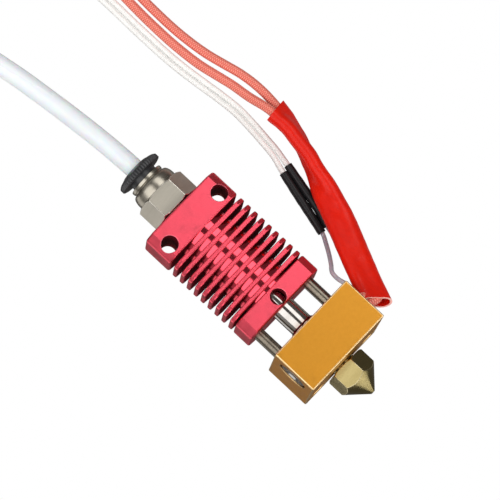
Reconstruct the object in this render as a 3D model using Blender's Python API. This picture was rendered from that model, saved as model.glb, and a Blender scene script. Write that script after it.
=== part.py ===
"""Hotend assembly of a fused-filament printer, with its filament tube and leads.

Frame: the hotend lies on its back on the plane z = 0.  +Z is the outward normal of its front face, +X is
its width and +Y runs from the nozzle to the push-in fitting.  The origin is on the heatsink's back face,
midway between the two mounting holes.  Metres throughout.
"""
import math

import bmesh
import bpy
from mathutils import Vector

MM = 0.001
GAP = 0.3 * MM                      # clearance left between pieces that touch
AXIS_X, AXIS_Z = 0.0, 6.0 * MM      # the filament path runs along Y at this X and Z

# Heatsink
SINK_WIDTH, SINK_DEPTH = 19.1 * MM, 12.0 * MM
SINK_TOP_Y, SINK_LENGTH = 4.0 * MM, 28.1 * MM
SINK_BOTTOM_Y = SINK_TOP_Y - SINK_LENGTH
SINK_CHAMFER = 1.75 * MM
TOP_BLOCK_HEIGHT = 6.6 * MM
FIN_COUNT, FIN_THICKNESS, FIN_GAP = 9, 0.95 * MM, 0.915 * MM
CORE_RADIUS = 5.85 * MM
HOLE_SPACING, HOLE_RADIUS = 14.0 * MM, 1.7 * MM
SET_SCREW_HOLE_RADIUS = 1.6 * MM
SET_SCREW_HOLE_Y = SINK_BOTTOM_Y + 1.9 * MM

# Filament tube, throat and nozzle
TUBE_RADIUS, TUBE_BORE = 2.0 * MM, 1.0 * MM
TUBE_CLEARANCE_BORE = 2.3 * MM
THREAD_RADIUS = 2.95 * MM           # M6 shanks
NECK_RADIUS = 2.55 * MM
THROAT_TOP_Y = -8.6 * MM
THROAT_BOTTOM_Y = -35.0 * MM

# Push-in fitting
HEX_ACROSS_FLATS, HEX_HEIGHT = 10.0 * MM, 5.0 * MM
HEX_BASE_Y = SINK_TOP_Y + GAP
HEX_TOP_Y = HEX_BASE_Y + HEX_HEIGHT
HEX_TURN = math.radians(23.2)       # one corner of the fitting's hexagon, measured from +Z towards +X
FITTING_FOOT_Y = -2.4 * MM          # lower end of the fitting's threaded shank
LIP_TOP_Y = HEX_TOP_Y + 3.5 * MM
CHAMBER_RADIUS = 3.3 * MM
COLLET_RADIUS, COLLET_NECK_RADIUS = 5.0 * MM, 3.0 * MM
COLLET_FLANGE_Y = LIP_TOP_Y + 1.0 * MM
COLLET_TOP_Y = COLLET_FLANGE_Y + 1.9 * MM

# Heater block
BLOCK_WIDTH, BLOCK_HEIGHT, BLOCK_DEPTH = 20.0 * MM, 10.0 * MM, 20.0 * MM
BLOCK_TOP_Y = -29.9 * MM
BLOCK_BOTTOM_Y = BLOCK_TOP_Y - BLOCK_HEIGHT
BLOCK_MID_Y = BLOCK_TOP_Y - BLOCK_HEIGHT / 2
CARTRIDGE_Z, CARTRIDGE_RADIUS = 14.9 * MM, 2.95 * MM
SCREW_SPACING, SCREW_RADIUS, SCREW_HEAD_RADIUS = 14.0 * MM, 1.25 * MM, 2.25 * MM
SCREW_HEAD_HEIGHT = 2.5 * MM
SCREW_HOLE_DEPTH = 3.2 * MM         # how far the screws' holes go into the heatsink
SENSOR_Y, SENSOR_Z, SENSOR_HOLE_RADIUS = -34.0 * MM, 10.0 * MM, 1.15 * MM
SENSOR_CLAMP_X = 7.0 * MM

# Nozzle
NOZZLE_HEX, NOZZLE_TURN = 8.0 * MM, math.radians(12.2)
NOZZLE_TIP_Y, NOZZLE_TIP_RADIUS = -48.0 * MM, 0.5 * MM
NOZZLE_SHOULDER_Y = BLOCK_BOTTOM_Y - 0.4 * MM
ORIFICE_RADIUS = 0.2 * MM

# Cords: radii, and the nested coils that hold their stored length
LEAD_RADIUS, WIRE_RADIUS, SENSOR_LEAD_RADIUS = 0.95 * MM, 0.6 * MM, 0.45 * MM
SHRINK_RADIUS = 0.7 * MM
COIL_X, COIL_Y = 7.0 * MM, 96.0 * MM
TUBE_COIL = (18.5 * MM, 22.5 * MM, 8.5 * MM)        # inner radius, outer radius, height
LEAD_COIL = (8.4 * MM, 16.4 * MM, 12.2 * MM)
WIRE_COIL = (2.9 * MM, 8.1 * MM, 15.5 * MM)

# Routes of the cords, chosen by hand (millimetres)
TUBE_ROUTE = [(0.0, 16.5, 6.0), (-0.1, 21.0, 5.7), (-0.3, 27.0, 4.6), (-0.6, 33.0, 3.2), (-1.1, 39.0, 2.3),
              (-1.8, 45.0, 2.0), (-2.8, 51.0, 2.0), (-4.2, 57.5, 2.0), (-6.3, 65.0, 2.0), (-9.0, 73.0, 2.0),
              (-12.6, 79.5, 2.0)]
SLEEVE_ROUTE = [(13.9, -34.6, 13.3), (15.4, -31.0, 11.7), (17.4, -26.5, 9.2), (20.8, -19.2, 5.8),
                (23.2, -13.4, 4.2), (26.3, -5.6, 3.5), (28.0, 1.0, 2.95), (28.4, 4.5, 2.6)]
LEAD_A_START = [(10.75, -34.0, 14.9), (11.6, -34.3, 14.8), (12.3, -34.6, 14.4)]
LEAD_B_START = [(10.75, -36.0, 14.9), (12.2, -36.7, 14.6), (13.5, -36.9, 13.9), (14.35, -36.2, 13.4)]
LEAD_B_RUN = [(26.9, 10.4, 1.5), (26.5, 14.2, 1.05), (25.8, 17.6, 1.05), (25.1, 21.0, 1.05),
              (24.5, 27.0, 1.05), (24.4, 35.0, 1.05), (24.8, 44.0, 1.05), (25.1, 54.0, 1.6),
              (24.6, 64.0, 4.6), (23.4, 73.0, 8.3), (22.4, 79.0, 9.8), (21.7, 85.8, 9.8)]
LEAD_A_RUN = [(29.7, 11.0, 1.2), (29.3, 14.6, 1.05), (28.5, 18.0, 1.05), (27.6, 22.0, 1.05),
              (26.9, 28.0, 1.05), (26.8, 36.0, 1.05), (27.2, 44.0, 1.05), (27.6, 54.0, 1.6),
              (27.2, 64.0, 4.6), (25.9, 73.0, 8.3), (24.9, 80.0, 9.8), (24.3, 86.0, 9.8), (23.6, 90.0, 9.8)]
SHRINK_A_ROUTE = [(17.1, -19.0, 0.87), (18.3, -14.4, 0.87), (19.5, -9.6, 0.87), (20.6, -5.3, 0.87)]
SHRINK_B_ROUTE = [(18.8, -18.9, 0.87), (20.1, -14.8, 0.87), (21.2, -10.0, 0.87), (22.35, -4.9, 0.87)]
SENSOR_A_ROUTE = [(9.2, -34.0, 9.45), (10.8, -33.7, 9.4), (11.5, -32.4, 9.2), (11.5, -30.0, 8.8),
                  (11.2, -28.0, 8.2), (11.5, -26.4, 7.1), (13.0, -24.8, 5.0), (14.6, -23.0, 2.8),
                  (16.1, -20.9, 1.3), (17.0, -19.4, 0.87)]
SENSOR_B_ROUTE = [(9.2, -34.0, 10.55), (10.9, -34.0, 10.5), (12.6, -33.2, 9.9), (13.6, -31.0, 8.8),
                  (14.6, -28.6, 6.9), (15.7, -26.2, 4.6), (17.0, -23.6, 2.5), (18.1, -21.2, 1.2),
                  (18.6, -19.4, 0.87)]
WIRE_A_RUN = [(20.7, -4.9, 0.8), (21.7, -1.6, 0.75), (22.2, 2.0, 0.65), (22.6, 6.0, 0.65),
              (22.8, 10.0, 0.65), (22.5, 14.0, 0.65), (21.9, 19.0, 0.65), (21.3, 25.0, 0.65),
              (21.1, 34.0, 0.65), (21.2, 44.0, 0.65), (20.8, 54.0, 1.2), (19.8, 64.0, 4.6), (18.3, 72.0, 8.9),
              (17.1, 78.0, 11.8), (16.2, 84.0, 13.6), (15.15, 91.8, 14.2)]
WIRE_B_RUN = [(22.4, -4.5, 0.8), (23.1, -1.2, 0.75), (23.5, 2.0, 0.65), (23.9, 6.0, 0.65),
              (24.1, 10.0, 0.65), (23.8, 14.0, 0.65), (23.2, 19.0, 0.65), (22.6, 25.0, 0.65),
              (22.4, 34.0, 0.65), (22.5, 44.0, 0.65), (22.1, 54.0, 1.2), (21.1, 64.0, 4.6), (19.6, 72.0, 8.9),
              (18.4, 78.0, 11.8), (17.5, 84.0, 13.6), (16.7, 90.5, 14.0), (16.4, 94.5, 14.0)]
WIRE_A_TAIL = [(5.0, 103.2, 16.5), (2.6, 105.6, 16.4), (0.2, 107.2, 15.9), (-1.8, 107.8, 15.6),
               (-3.2, 106.9, 15.5)]
WIRE_B_TAIL = [(4.2, 101.6, 16.5), (2.2, 103.9, 16.4), (0.7, 105.4, 15.9), (-0.4, 106.2, 15.6),
               (-1.0, 105.6, 15.5)]

# Sleeve over the heater leads: a flattened tube that twists as it runs
SLEEVE_HALF_WIDTH, SLEEVE_HALF_THICKNESS, SLEEVE_WALL = 2.95 * MM, 1.65 * MM, 0.4 * MM
LEAD_OFFSET = 1.12 * MM
SLEEVE_TWISTS = [(0.0, -20.0), (0.2, 0.0), (0.35, 8.0), (0.5, 35.0), (0.7, 85.0), (0.85, 112.0), (1.0, 140.0)]

# Ends of the cords
CONNECTOR_ANGLE, CONNECTOR_REACH, CONNECTOR_Z = math.radians(150.0), 13.0 * MM, 15.5 * MM
CONNECTOR_SIZE = (8.0 * MM, 7.4 * MM, 5.8 * MM)     # along its wires, across, high
FERRULE_COLLAR_RADIUS, FERRULE_PIN_RADIUS = 1.35 * MM, 0.7 * MM
FERRULE_COLLAR_LENGTH, FERRULE_LENGTH = 5.5 * MM, 12.0 * MM
FERRULE_Z = 13.9 * MM
FERRULE_PLACES = (("ferrule_a", math.radians(24), 13.4 * MM), ("ferrule_b", math.radians(38), 10.2 * MM))


def clear_scene():
    for obj in list(bpy.data.objects):
        bpy.data.objects.remove(obj, do_unlink=True)


def material(name, colour, roughness, metallic=0.0):
    mat = bpy.data.materials.new(name)
    mat.use_nodes = True
    shader = mat.node_tree.nodes["Principled BSDF"]
    shader.inputs["Base Color"].default_value = (*colour, 1.0)
    shader.inputs["Roughness"].default_value = roughness
    shader.inputs["Metallic"].default_value = metallic
    return mat


def add_object(name, bm, mat, smooth_angle=None):
    """Links a bmesh as a named object, with its faces turned outward."""
    bm.normal_update()
    bmesh.ops.recalc_face_normals(bm, faces=bm.faces)
    mesh = bpy.data.meshes.new(name)
    bm.to_mesh(mesh)
    bm.free()
    if smooth_angle is not None:
        mesh.shade_smooth()
        mesh.set_sharp_from_angle(angle=math.radians(smooth_angle))
    if mat is not None:
        mesh.materials.append(mat)
    obj = bpy.data.objects.new(name, mesh)
    bpy.context.scene.collection.objects.link(obj)
    return obj


def boolean(obj, tool, operation="DIFFERENCE"):
    """Cuts, joins or intersects obj with tool, which is hidden."""
    tool.hide_render = True
    tool.display_type = "WIRE"
    modifier = obj.modifiers.new(tool.name, "BOOLEAN")
    modifier.operation = operation
    modifier.solver = "EXACT"
    modifier.object = tool


def add_turned(bm, profile, axis, centre, segments):
    """Adds a solid of revolution; profile is a list of (distance along the axis, radius)."""
    along, first, second = {"X": (0, 1, 2), "Y": (1, 2, 0), "Z": (2, 0, 1)}[axis]
    rings = []
    for distance, radius in profile:
        ring = []
        for step in range(segments if radius > 0 else 1):
            angle = 2 * math.pi * step / segments
            point = [0.0, 0.0, 0.0]
            point[along] = distance
            point[first] = radius * math.cos(angle)
            point[second] = radius * math.sin(angle)
            ring.append(bm.verts.new(Vector(point) + Vector(centre)))
        rings.append(ring)
    hollow = profile[0][1] > 0
    pairs = list(zip(rings, rings[1:])) + ([(rings[-1], rings[0])] if hollow else [])
    for low, high in pairs:
        for step in range(segments):
            after = (step + 1) % segments
            corners = [low[step % len(low)], low[after % len(low)],
                       high[after % len(high)], high[step % len(high)]]
            bm.faces.new(dict.fromkeys(corners))


def turned(name, profile, mat=None, axis="Y", centre=(AXIS_X, 0.0, AXIS_Z), segments=40):
    bm = bmesh.new()
    add_turned(bm, profile, axis, centre, segments)
    return add_object(name, bm, mat, smooth_angle=35)


def rod(name, start, end, radius, mat=None, axis="Y", centre=(AXIS_X, 0.0, AXIS_Z), segments=28):
    return turned(name, [(start, 0), (start, radius), (end, radius), (end, 0)], mat, axis, centre, segments)


def prism(name, outline, start, end, mat=None):
    """Extrudes an outline of (x, z) points along Y."""
    bm = bmesh.new()
    bottom = [bm.verts.new((x, start, z)) for x, z in outline]
    top = [bm.verts.new((x, end, z)) for x, z in outline]
    bm.faces.new(bottom)
    bm.faces.new(top)
    for i in range(len(outline)):
        j = (i + 1) % len(outline)
        bm.faces.new((bottom[i], bottom[j], top[j], top[i]))
    return add_object(name, bm, mat)


def hexagon(across_flats, turn):
    """Six corners of a hexagon about the filament axis; turn places one corner from +Z towards +X."""
    radius = across_flats / math.sqrt(3)
    angles = [turn + math.radians(60 * k) for k in range(6)]
    return [(AXIS_X + radius * math.sin(a), AXIS_Z + radius * math.cos(a)) for a in angles]


def smooth_route(points, spacing):
    """Points evenly spaced along a smooth curve (Catmull-Rom) through the route's points."""
    knots = [Vector(p) for p in points]
    knots = [2 * knots[0] - knots[1]] + knots + [2 * knots[-1] - knots[-2]]
    fine = []
    steps = 24
    for a, b, c, d in zip(knots, knots[1:], knots[2:], knots[3:]):
        for step in range(steps):
            t = step / steps
            fine.append(0.5 * (2 * b + (c - a) * t + (2 * a - 5 * b + 4 * c - d) * t ** 2
                               + (3 * b - a - 3 * c + d) * t ** 3))
    fine.append(knots[-2])
    lengths = [0.0]
    for a, b in zip(fine, fine[1:]):
        lengths.append(lengths[-1] + (b - a).length)
    count = max(3, round(lengths[-1] / spacing) + 1)
    route, k = [], 0
    for i in range(count):
        target = lengths[-1] * i / (count - 1)
        while k < len(fine) - 2 and lengths[k + 1] < target:
            k += 1
        share = (target - lengths[k]) / max(lengths[k + 1] - lengths[k], 1e-12)
        route.append(fine[k].lerp(fine[k + 1], min(max(share, 0.0), 1.0)))
    return route


def millimetres(points):
    return [Vector(p) * MM for p in points]


def tube(name, points, radius, mat, sides=2, step=2.2):
    """A filled round cord along a smooth curve through the points, with a point every step diameters."""
    route = smooth_route(points, step * 2 * radius)
    curve = bpy.data.curves.new(name, "CURVE")
    curve.dimensions = "3D"
    curve.bevel_depth = radius
    curve.bevel_resolution = sides
    curve.use_fill_caps = True
    spline = curve.splines.new("POLY")
    spline.points.add(len(route) - 1)
    for knot, place in zip(spline.points, route):
        knot.co = (*place, 1.0)
    curve.materials.append(mat)
    obj = bpy.data.objects.new(name, curve)
    bpy.context.scene.collection.objects.link(obj)
    return obj


def heatsink(mat):
    half = SINK_WIDTH / 2
    corners = [(-half + SINK_CHAMFER, 0), (half - SINK_CHAMFER, 0), (half, SINK_CHAMFER),
               (half, SINK_DEPTH - SINK_CHAMFER), (half - SINK_CHAMFER, SINK_DEPTH),
               (-half + SINK_CHAMFER, SINK_DEPTH), (-half, SINK_DEPTH - SINK_CHAMFER), (-half, SINK_CHAMFER)]
    body = prism("heatsink", corners, SINK_BOTTOM_Y, SINK_TOP_Y, mat)

    gaps = bmesh.new()
    gap_top = SINK_TOP_Y - TOP_BLOCK_HEIGHT
    for _ in range(FIN_COUNT + 1):
        ring = [(gap_top, CORE_RADIUS), (gap_top, SINK_WIDTH), (gap_top - FIN_GAP, SINK_WIDTH),
                (gap_top - FIN_GAP, CORE_RADIUS)]
        add_turned(gaps, ring, "Y", (AXIS_X, 0.0, AXIS_Z), 40)
        gap_top -= FIN_GAP + FIN_THICKNESS
    boolean(body, add_object("cut_fin_gaps", gaps, None))

    over = MM
    thread = THREAD_RADIUS + GAP
    bore = [(SINK_TOP_Y + over, 0), (SINK_TOP_Y + over, thread), (FITTING_FOOT_Y - 2 * GAP, thread),
            (FITTING_FOOT_Y - 2 * GAP, TUBE_CLEARANCE_BORE), (THROAT_TOP_Y + GAP, TUBE_CLEARANCE_BORE),
            (THROAT_TOP_Y + GAP, thread), (SINK_BOTTOM_Y - over, thread), (SINK_BOTTOM_Y - over, 0)]
    boolean(body, turned("cut_sink_bore", bore, segments=28))

    for side in (-1, 1):
        place = (side * HOLE_SPACING / 2, 0.0, 0.0)
        hole = rod(f"cut_mount_hole_{side}", -over, SINK_DEPTH + over, HOLE_RADIUS, axis="Z", centre=place)
        boolean(body, hole)
        place = (side * SCREW_SPACING / 2, 0.0, AXIS_Z)
        hole = rod(f"cut_rod_hole_{side}", SINK_BOTTOM_Y - over, SINK_BOTTOM_Y + SCREW_HOLE_DEPTH,
                   SCREW_RADIUS + GAP, centre=place, segments=20)
        boolean(body, hole)
    boolean(body, rod("cut_set_screw", AXIS_Z, SINK_DEPTH + over, SET_SCREW_HOLE_RADIUS, axis="Z",
                      centre=(0.0, SET_SCREW_HOLE_Y, 0.0), segments=24))
    return body


def fitting(metal, rubber, steel, plastic):
    """Push-in fitting: body, seal, toothed grab ring and the release collet that slides in it."""
    body = prism("fitting_body", hexagon(HEX_ACROSS_FLATS, HEX_TURN), HEX_BASE_Y, HEX_TOP_Y, metal)
    bell = [(HEX_TOP_Y - MM, 0), (HEX_TOP_Y - MM, 4.75 * MM), (HEX_TOP_Y, 4.75 * MM)]
    for k in range(7):
        rise = math.sin(math.radians(15 * k))
        bell.append((HEX_TOP_Y + (0.6 + 1.9 * rise) * MM, (4.0 + 0.75 * math.cos(math.radians(15 * k))) * MM))
    bell += [(HEX_TOP_Y + 2.55 * MM, 3.75 * MM), (LIP_TOP_Y - 0.1 * MM, 3.8 * MM), (LIP_TOP_Y, 3.7 * MM),
             (LIP_TOP_Y, 0)]
    boolean(body, turned("join_bell", bell), "UNION")
    boolean(body, rod("join_shank", FITTING_FOOT_Y, HEX_BASE_Y + MM, THREAD_RADIUS), "UNION")
    chamber_floor = HEX_BASE_Y + 1.9 * MM
    bore = [(FITTING_FOOT_Y - MM, 0), (FITTING_FOOT_Y - MM, TUBE_CLEARANCE_BORE),
            (chamber_floor, TUBE_CLEARANCE_BORE), (chamber_floor, CHAMBER_RADIUS),
            (LIP_TOP_Y + MM, CHAMBER_RADIUS), (LIP_TOP_Y + MM, 0)]
    boolean(body, turned("cut_fitting_bore", bore, segments=32))

    seal_middle, seal_y, seal_radius = 2.65 * MM, chamber_floor + 0.7 * MM, 0.38 * MM
    section = [(seal_y + seal_radius * math.sin(a), seal_middle + seal_radius * math.cos(a))
               for a in (2 * math.pi * k / 10 for k in range(10))]
    turned("tube_seal", section, rubber, segments=24)

    grab_y = chamber_floor + 1.5 * MM
    grab = [(grab_y, TUBE_CLEARANCE_BORE), (grab_y, 3.0 * MM), (grab_y + 0.3 * MM, 3.0 * MM),
            (grab_y + 0.3 * MM, 2.7 * MM), (grab_y + 0.6 * MM, TUBE_CLEARANCE_BORE)]
    turned("grab_ring", grab, steel, segments=24)

    collet_foot = grab_y + 1.9 * MM
    collet = [(collet_foot, TUBE_CLEARANCE_BORE), (collet_foot, COLLET_NECK_RADIUS),
              (COLLET_FLANGE_Y, COLLET_NECK_RADIUS), (COLLET_FLANGE_Y, COLLET_RADIUS - 0.2 * MM),
              (COLLET_FLANGE_Y + 0.2 * MM, COLLET_RADIUS), (COLLET_FLANGE_Y + 1.1 * MM, COLLET_RADIUS),
              (COLLET_FLANGE_Y + 1.5 * MM, COLLET_RADIUS - 0.6 * MM), (COLLET_TOP_Y, 3.2 * MM),
              (COLLET_TOP_Y, TUBE_CLEARANCE_BORE)]
    turned("release_collet", collet, plastic)


def throat(steel):
    """Heat break: a polished tube clamped in the heatsink, necked in the open and threaded in the block."""
    profile = [(THROAT_TOP_Y, TUBE_CLEARANCE_BORE), (THROAT_TOP_Y, THREAD_RADIUS),
               (SINK_BOTTOM_Y + 0.8 * MM, THREAD_RADIUS), (SINK_BOTTOM_Y + 0.4 * MM, NECK_RADIUS),
               (BLOCK_TOP_Y + 1.0 * MM, NECK_RADIUS), (BLOCK_TOP_Y + 0.7 * MM, THREAD_RADIUS),
               (THROAT_BOTTOM_Y, THREAD_RADIUS), (THROAT_BOTTOM_Y, TUBE_CLEARANCE_BORE)]
    turned("heat_break", profile, steel, segments=32)


def heater_block(mat):
    half = BLOCK_WIDTH / 2
    block = prism("heater_block", [(-half, 0), (half, 0), (half, BLOCK_DEPTH), (-half, BLOCK_DEPTH)],
                  BLOCK_BOTTOM_Y, BLOCK_TOP_Y, mat)
    edge = block.modifiers.new("eased_edges", "BEVEL")
    edge.width = 0.25 * MM
    edge.segments = 1
    over = MM
    low, high = BLOCK_BOTTOM_Y - over, BLOCK_TOP_Y + over
    boolean(block, rod("cut_nozzle_thread", low, high, THREAD_RADIUS + GAP))
    boolean(block, rod("cut_cartridge", -half - over, half + over, CARTRIDGE_RADIUS + GAP, axis="X",
                       centre=(0.0, BLOCK_MID_Y, CARTRIDGE_Z), segments=32))
    boolean(block, rod("cut_sensor", SENSOR_CLAMP_X - 2.4 * MM, half + over, SENSOR_HOLE_RADIUS, axis="X",
                       centre=(0.0, SENSOR_Y, SENSOR_Z), segments=16))
    boolean(block, rod("cut_cartridge_clamp", BLOCK_MID_Y, high, 1.75 * MM, centre=(0.0, 0.0, CARTRIDGE_Z),
                       segments=20))
    boolean(block, rod("cut_sensor_clamp", SENSOR_Y, high, 1.25 * MM, centre=(SENSOR_CLAMP_X, 0.0, SENSOR_Z),
                       segments=16))
    for side in (-1, 1):
        place = (side * SCREW_SPACING / 2, 0.0, AXIS_Z)
        foot = BLOCK_BOTTOM_Y + SCREW_HEAD_HEIGHT + 2 * GAP
        stepped = [(low, 0), (low, SCREW_HEAD_RADIUS + GAP), (foot, SCREW_HEAD_RADIUS + GAP),
                   (foot, SCREW_RADIUS + GAP), (high, SCREW_RADIUS + GAP), (high, 0)]
        boolean(block, turned(f"cut_screw_{side}", stepped, centre=place, segments=20))


def socket_cutter(name, start, depth, across_flats, centre):
    """A hexagonal socket for a key, cut from the end face at start."""
    radius = across_flats / math.sqrt(3)
    angles = [math.radians(60 * k) for k in range(6)]
    outline = [(centre[0] + radius * math.cos(a), centre[1] + radius * math.sin(a)) for a in angles]
    return prism(name, outline, start - MM * math.copysign(1, depth), start + depth)


def block_screws(steel):
    """Two long cap screws that carry the block below the heatsink and keep it from turning."""
    for name, side in (("block_screw_left", -1), ("block_screw_right", 1)):
        x = side * SCREW_SPACING / 2
        head_y = BLOCK_BOTTOM_Y + GAP
        neck_y = head_y + SCREW_HEAD_HEIGHT
        tip_y = SINK_BOTTOM_Y + SCREW_HOLE_DEPTH - GAP
        ease = 0.3 * MM
        profile = [(head_y, 0), (head_y, SCREW_HEAD_RADIUS - ease), (head_y + ease, SCREW_HEAD_RADIUS),
                   (neck_y, SCREW_HEAD_RADIUS), (neck_y, SCREW_RADIUS), (tip_y - ease, SCREW_RADIUS),
                   (tip_y, SCREW_RADIUS - ease), (tip_y, 0)]
        screw = turned(name, profile, steel, centre=(x, 0.0, AXIS_Z), segments=20)
        boolean(screw, socket_cutter(f"cut_socket_{side}", head_y, 1.3 * MM, 2.0 * MM, (x, AXIS_Z)))


def set_screws(steel):
    """Two grub screws in the block's fitting-side face, over the cartridge and over the sensor."""
    for name, x, z, radius, tip in (
            ("cartridge_set_screw", 0.0, CARTRIDGE_Z, 1.45 * MM, BLOCK_MID_Y + CARTRIDGE_RADIUS + GAP),
            ("sensor_set_screw", SENSOR_CLAMP_X, SENSOR_Z, 0.95 * MM, SENSOR_Y + SENSOR_HOLE_RADIUS)):
        top = BLOCK_TOP_Y - 0.1 * MM
        profile = [(tip, 0), (tip, radius - 0.3 * MM), (tip + 0.3 * MM, radius), (top, radius), (top, 0)]
        screw = turned(name, profile, steel, centre=(x, 0.0, z), segments=18)
        boolean(screw, socket_cutter(f"cut_{name}", top, -1.1 * MM, radius, (x, z)))


def nozzle(brass):
    body = prism("nozzle", hexagon(NOZZLE_HEX, NOZZLE_TURN), NOZZLE_TIP_Y - MM, NOZZLE_SHOULDER_Y, brass)
    wide = 5.0 * MM
    cone_start = NOZZLE_TIP_Y + wide - NOZZLE_TIP_RADIUS
    envelope = [(NOZZLE_TIP_Y, 0), (NOZZLE_TIP_Y, NOZZLE_TIP_RADIUS), (cone_start, wide),
                (NOZZLE_SHOULDER_Y + MM, wide), (NOZZLE_SHOULDER_Y + MM, 0)]
    boolean(body, turned("keep_cone", envelope), "INTERSECT")
    shank_top = THROAT_BOTTOM_Y - GAP
    shank = [(NOZZLE_SHOULDER_Y - 0.5 * MM, 0), (NOZZLE_SHOULDER_Y - 0.5 * MM, 2.6 * MM),
             (BLOCK_BOTTOM_Y + 0.2 * MM, 2.6 * MM), (BLOCK_BOTTOM_Y + 0.5 * MM, THREAD_RADIUS),
             (shank_top, THREAD_RADIUS), (shank_top, 0)]
    boolean(body, turned("join_shank_nozzle", shank), "UNION")
    bore = [(shank_top + MM, 0), (shank_top + MM, TUBE_BORE), (NOZZLE_TIP_Y + 2.2 * MM, TUBE_BORE),
            (NOZZLE_TIP_Y + 0.8 * MM, ORIFICE_RADIUS), (NOZZLE_TIP_Y - MM, ORIFICE_RADIUS),
            (NOZZLE_TIP_Y - MM, 0)]
    boolean(body, turned("cut_nozzle_bore", bore, segments=20))


def cartridge(steel, ceramic):
    half = BLOCK_WIDTH / 2 - 0.1 * MM
    cup = [(-half, 0), (-half, CARTRIDGE_RADIUS - 0.3 * MM), (-half + 0.3 * MM, CARTRIDGE_RADIUS),
           (half, CARTRIDGE_RADIUS), (half, 2.5 * MM), (half - 1.6 * MM, 2.5 * MM), (half - 1.6 * MM, 0)]
    place = (0.0, BLOCK_MID_Y, CARTRIDGE_Z)
    turned("heater_cartridge", cup, steel, "X", place, 32)
    rod("cartridge_seal", half - 1.3 * MM, half + 0.1 * MM, 2.2 * MM, ceramic, "X", place, 24)


def sensor(glass):
    """Bead thermistor in its hole in the block's right-hand side."""
    tip = SENSOR_CLAMP_X - 1.9 * MM
    profile = [(tip, 0), (tip + 0.2 * MM, 0.5 * MM), (tip + 0.7 * MM, 0.8 * MM), (tip + 3.2 * MM, 0.8 * MM),
               (tip + 3.6 * MM, 0.5 * MM), (tip + 3.6 * MM, 0)]
    turned("thermistor_bead", profile, glass, "X", (0.0, SENSOR_Y, SENSOR_Z), 14)


def sleeve_twist(share):
    """Twist of the sleeve's section at a share of its length, in radians."""
    for (s0, a0), (s1, a1) in zip(SLEEVE_TWISTS, SLEEVE_TWISTS[1:]):
        if share <= s1:
            t = (share - s0) / (s1 - s0)
            return math.radians(a0 + (a1 - a0) * t * t * (3 - 2 * t))
    return math.radians(SLEEVE_TWISTS[-1][1])


def sleeve_frames(spacing):
    """Centre, wide direction and thin direction of the sleeve's section, along its length."""
    route = smooth_route(millimetres(SLEEVE_ROUTE), spacing)
    frames = []
    for i, centre in enumerate(route):
        ahead = (route[min(i + 1, len(route) - 1)] - route[max(i - 1, 0)]).normalized()
        across = ahead.cross(Vector((0, 0, 1))).normalized()
        upward = across.cross(ahead)
        turn = sleeve_twist(i / (len(route) - 1))
        wide = across * math.cos(turn) + upward * math.sin(turn)
        thin = upward * math.cos(turn) - across * math.sin(turn)
        frames.append((centre, wide, thin))
    return frames


def heater_sleeve(mat):
    sides = 20
    bm = bmesh.new()
    outer, inner = [], []
    for centre, wide, thin in sleeve_frames(2.4 * MM):
        for rings, wall in ((outer, 0.0), (inner, SLEEVE_WALL)):
            flat = SLEEVE_HALF_WIDTH - SLEEVE_HALF_THICKNESS
            round_end = SLEEVE_HALF_THICKNESS - wall
            ring = []
            for k in range(sides):
                angle = 2 * math.pi * (k + 0.5) / sides
                along = math.copysign(flat, math.cos(angle)) + round_end * math.cos(angle)
                ring.append(bm.verts.new(centre + wide * along + thin * round_end * math.sin(angle)))
            rings.append(ring)
    for rings in (outer, inner):
        for low, high in zip(rings, rings[1:]):
            for k in range(sides):
                j = (k + 1) % sides
                bm.faces.new((low[k], low[j], high[j], high[k]))
    for end in (0, -1):
        for k in range(sides):
            j = (k + 1) % sides
            bm.faces.new((outer[end][k], outer[end][j], inner[end][j], inner[end][k]))
    add_object("heater_sleeve", bm, mat, smooth_angle=60)


def heater_leads(mat):
    frames = sleeve_frames(4.0 * MM)
    for name, start, side, run in (("heater_lead_a", LEAD_A_START, -1, LEAD_A_RUN),
                                   ("heater_lead_b", LEAD_B_START, 1, LEAD_B_RUN)):
        inside = [centre + wide * side * LEAD_OFFSET for centre, wide, thin in frames]
        tube(name, millimetres(start) + inside + millimetres(run), LEAD_RADIUS, mat, step=1.2)


def ring_coil(name, size, mat):
    inner, outer, height = size
    profile = [(0, inner), (0, outer), (height, outer), (height, inner)]
    turned(name, profile, mat, "Z", (COIL_X, COIL_Y, 0.0), 48)


def connector(plastic, metal):
    """Two-way plug housing with its two crimped contacts, lying on the lead coil."""
    length, width, height = CONNECTOR_SIZE
    across = Vector((math.cos(CONNECTOR_ANGLE), math.sin(CONNECTOR_ANGLE), 0))
    ahead = Vector((-across.y, across.x, 0))
    upward = Vector((0, 0, 1))
    centre = Vector((COIL_X, COIL_Y, CONNECTOR_Z)) + across * CONNECTOR_REACH

    def box(name, low, high, mat=None):
        bm = bmesh.new()
        bmesh.ops.create_cube(bm, size=1.0)
        for vert in bm.verts:
            a, b, c = (low[i] + (high[i] - low[i]) * (vert.co[i] + 0.5) for i in range(3))
            vert.co = centre + ahead * a + across * b + upward * c
        return add_object(name, bm, mat)

    half_size = (length / 2, width / 2, height / 2)
    housing = box("connector_housing", [-size for size in half_size], half_size, plastic)
    pitch, channel = 2.5 * MM, 0.95 * MM
    for name, side in (("connector_contact_a", 1), ("connector_contact_b", -1)):
        middle = side * pitch / 2
        boolean(housing, box(f"cut_channel_{side}", (-length, middle - channel, -channel),
                             (length, middle + channel, channel)))
        half, rear, front = channel - GAP, -length / 2 + 2.0 * MM, length / 2 - 0.6 * MM
        box(name, (rear, middle - half, -half), (front, middle + half, half), metal)


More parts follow.
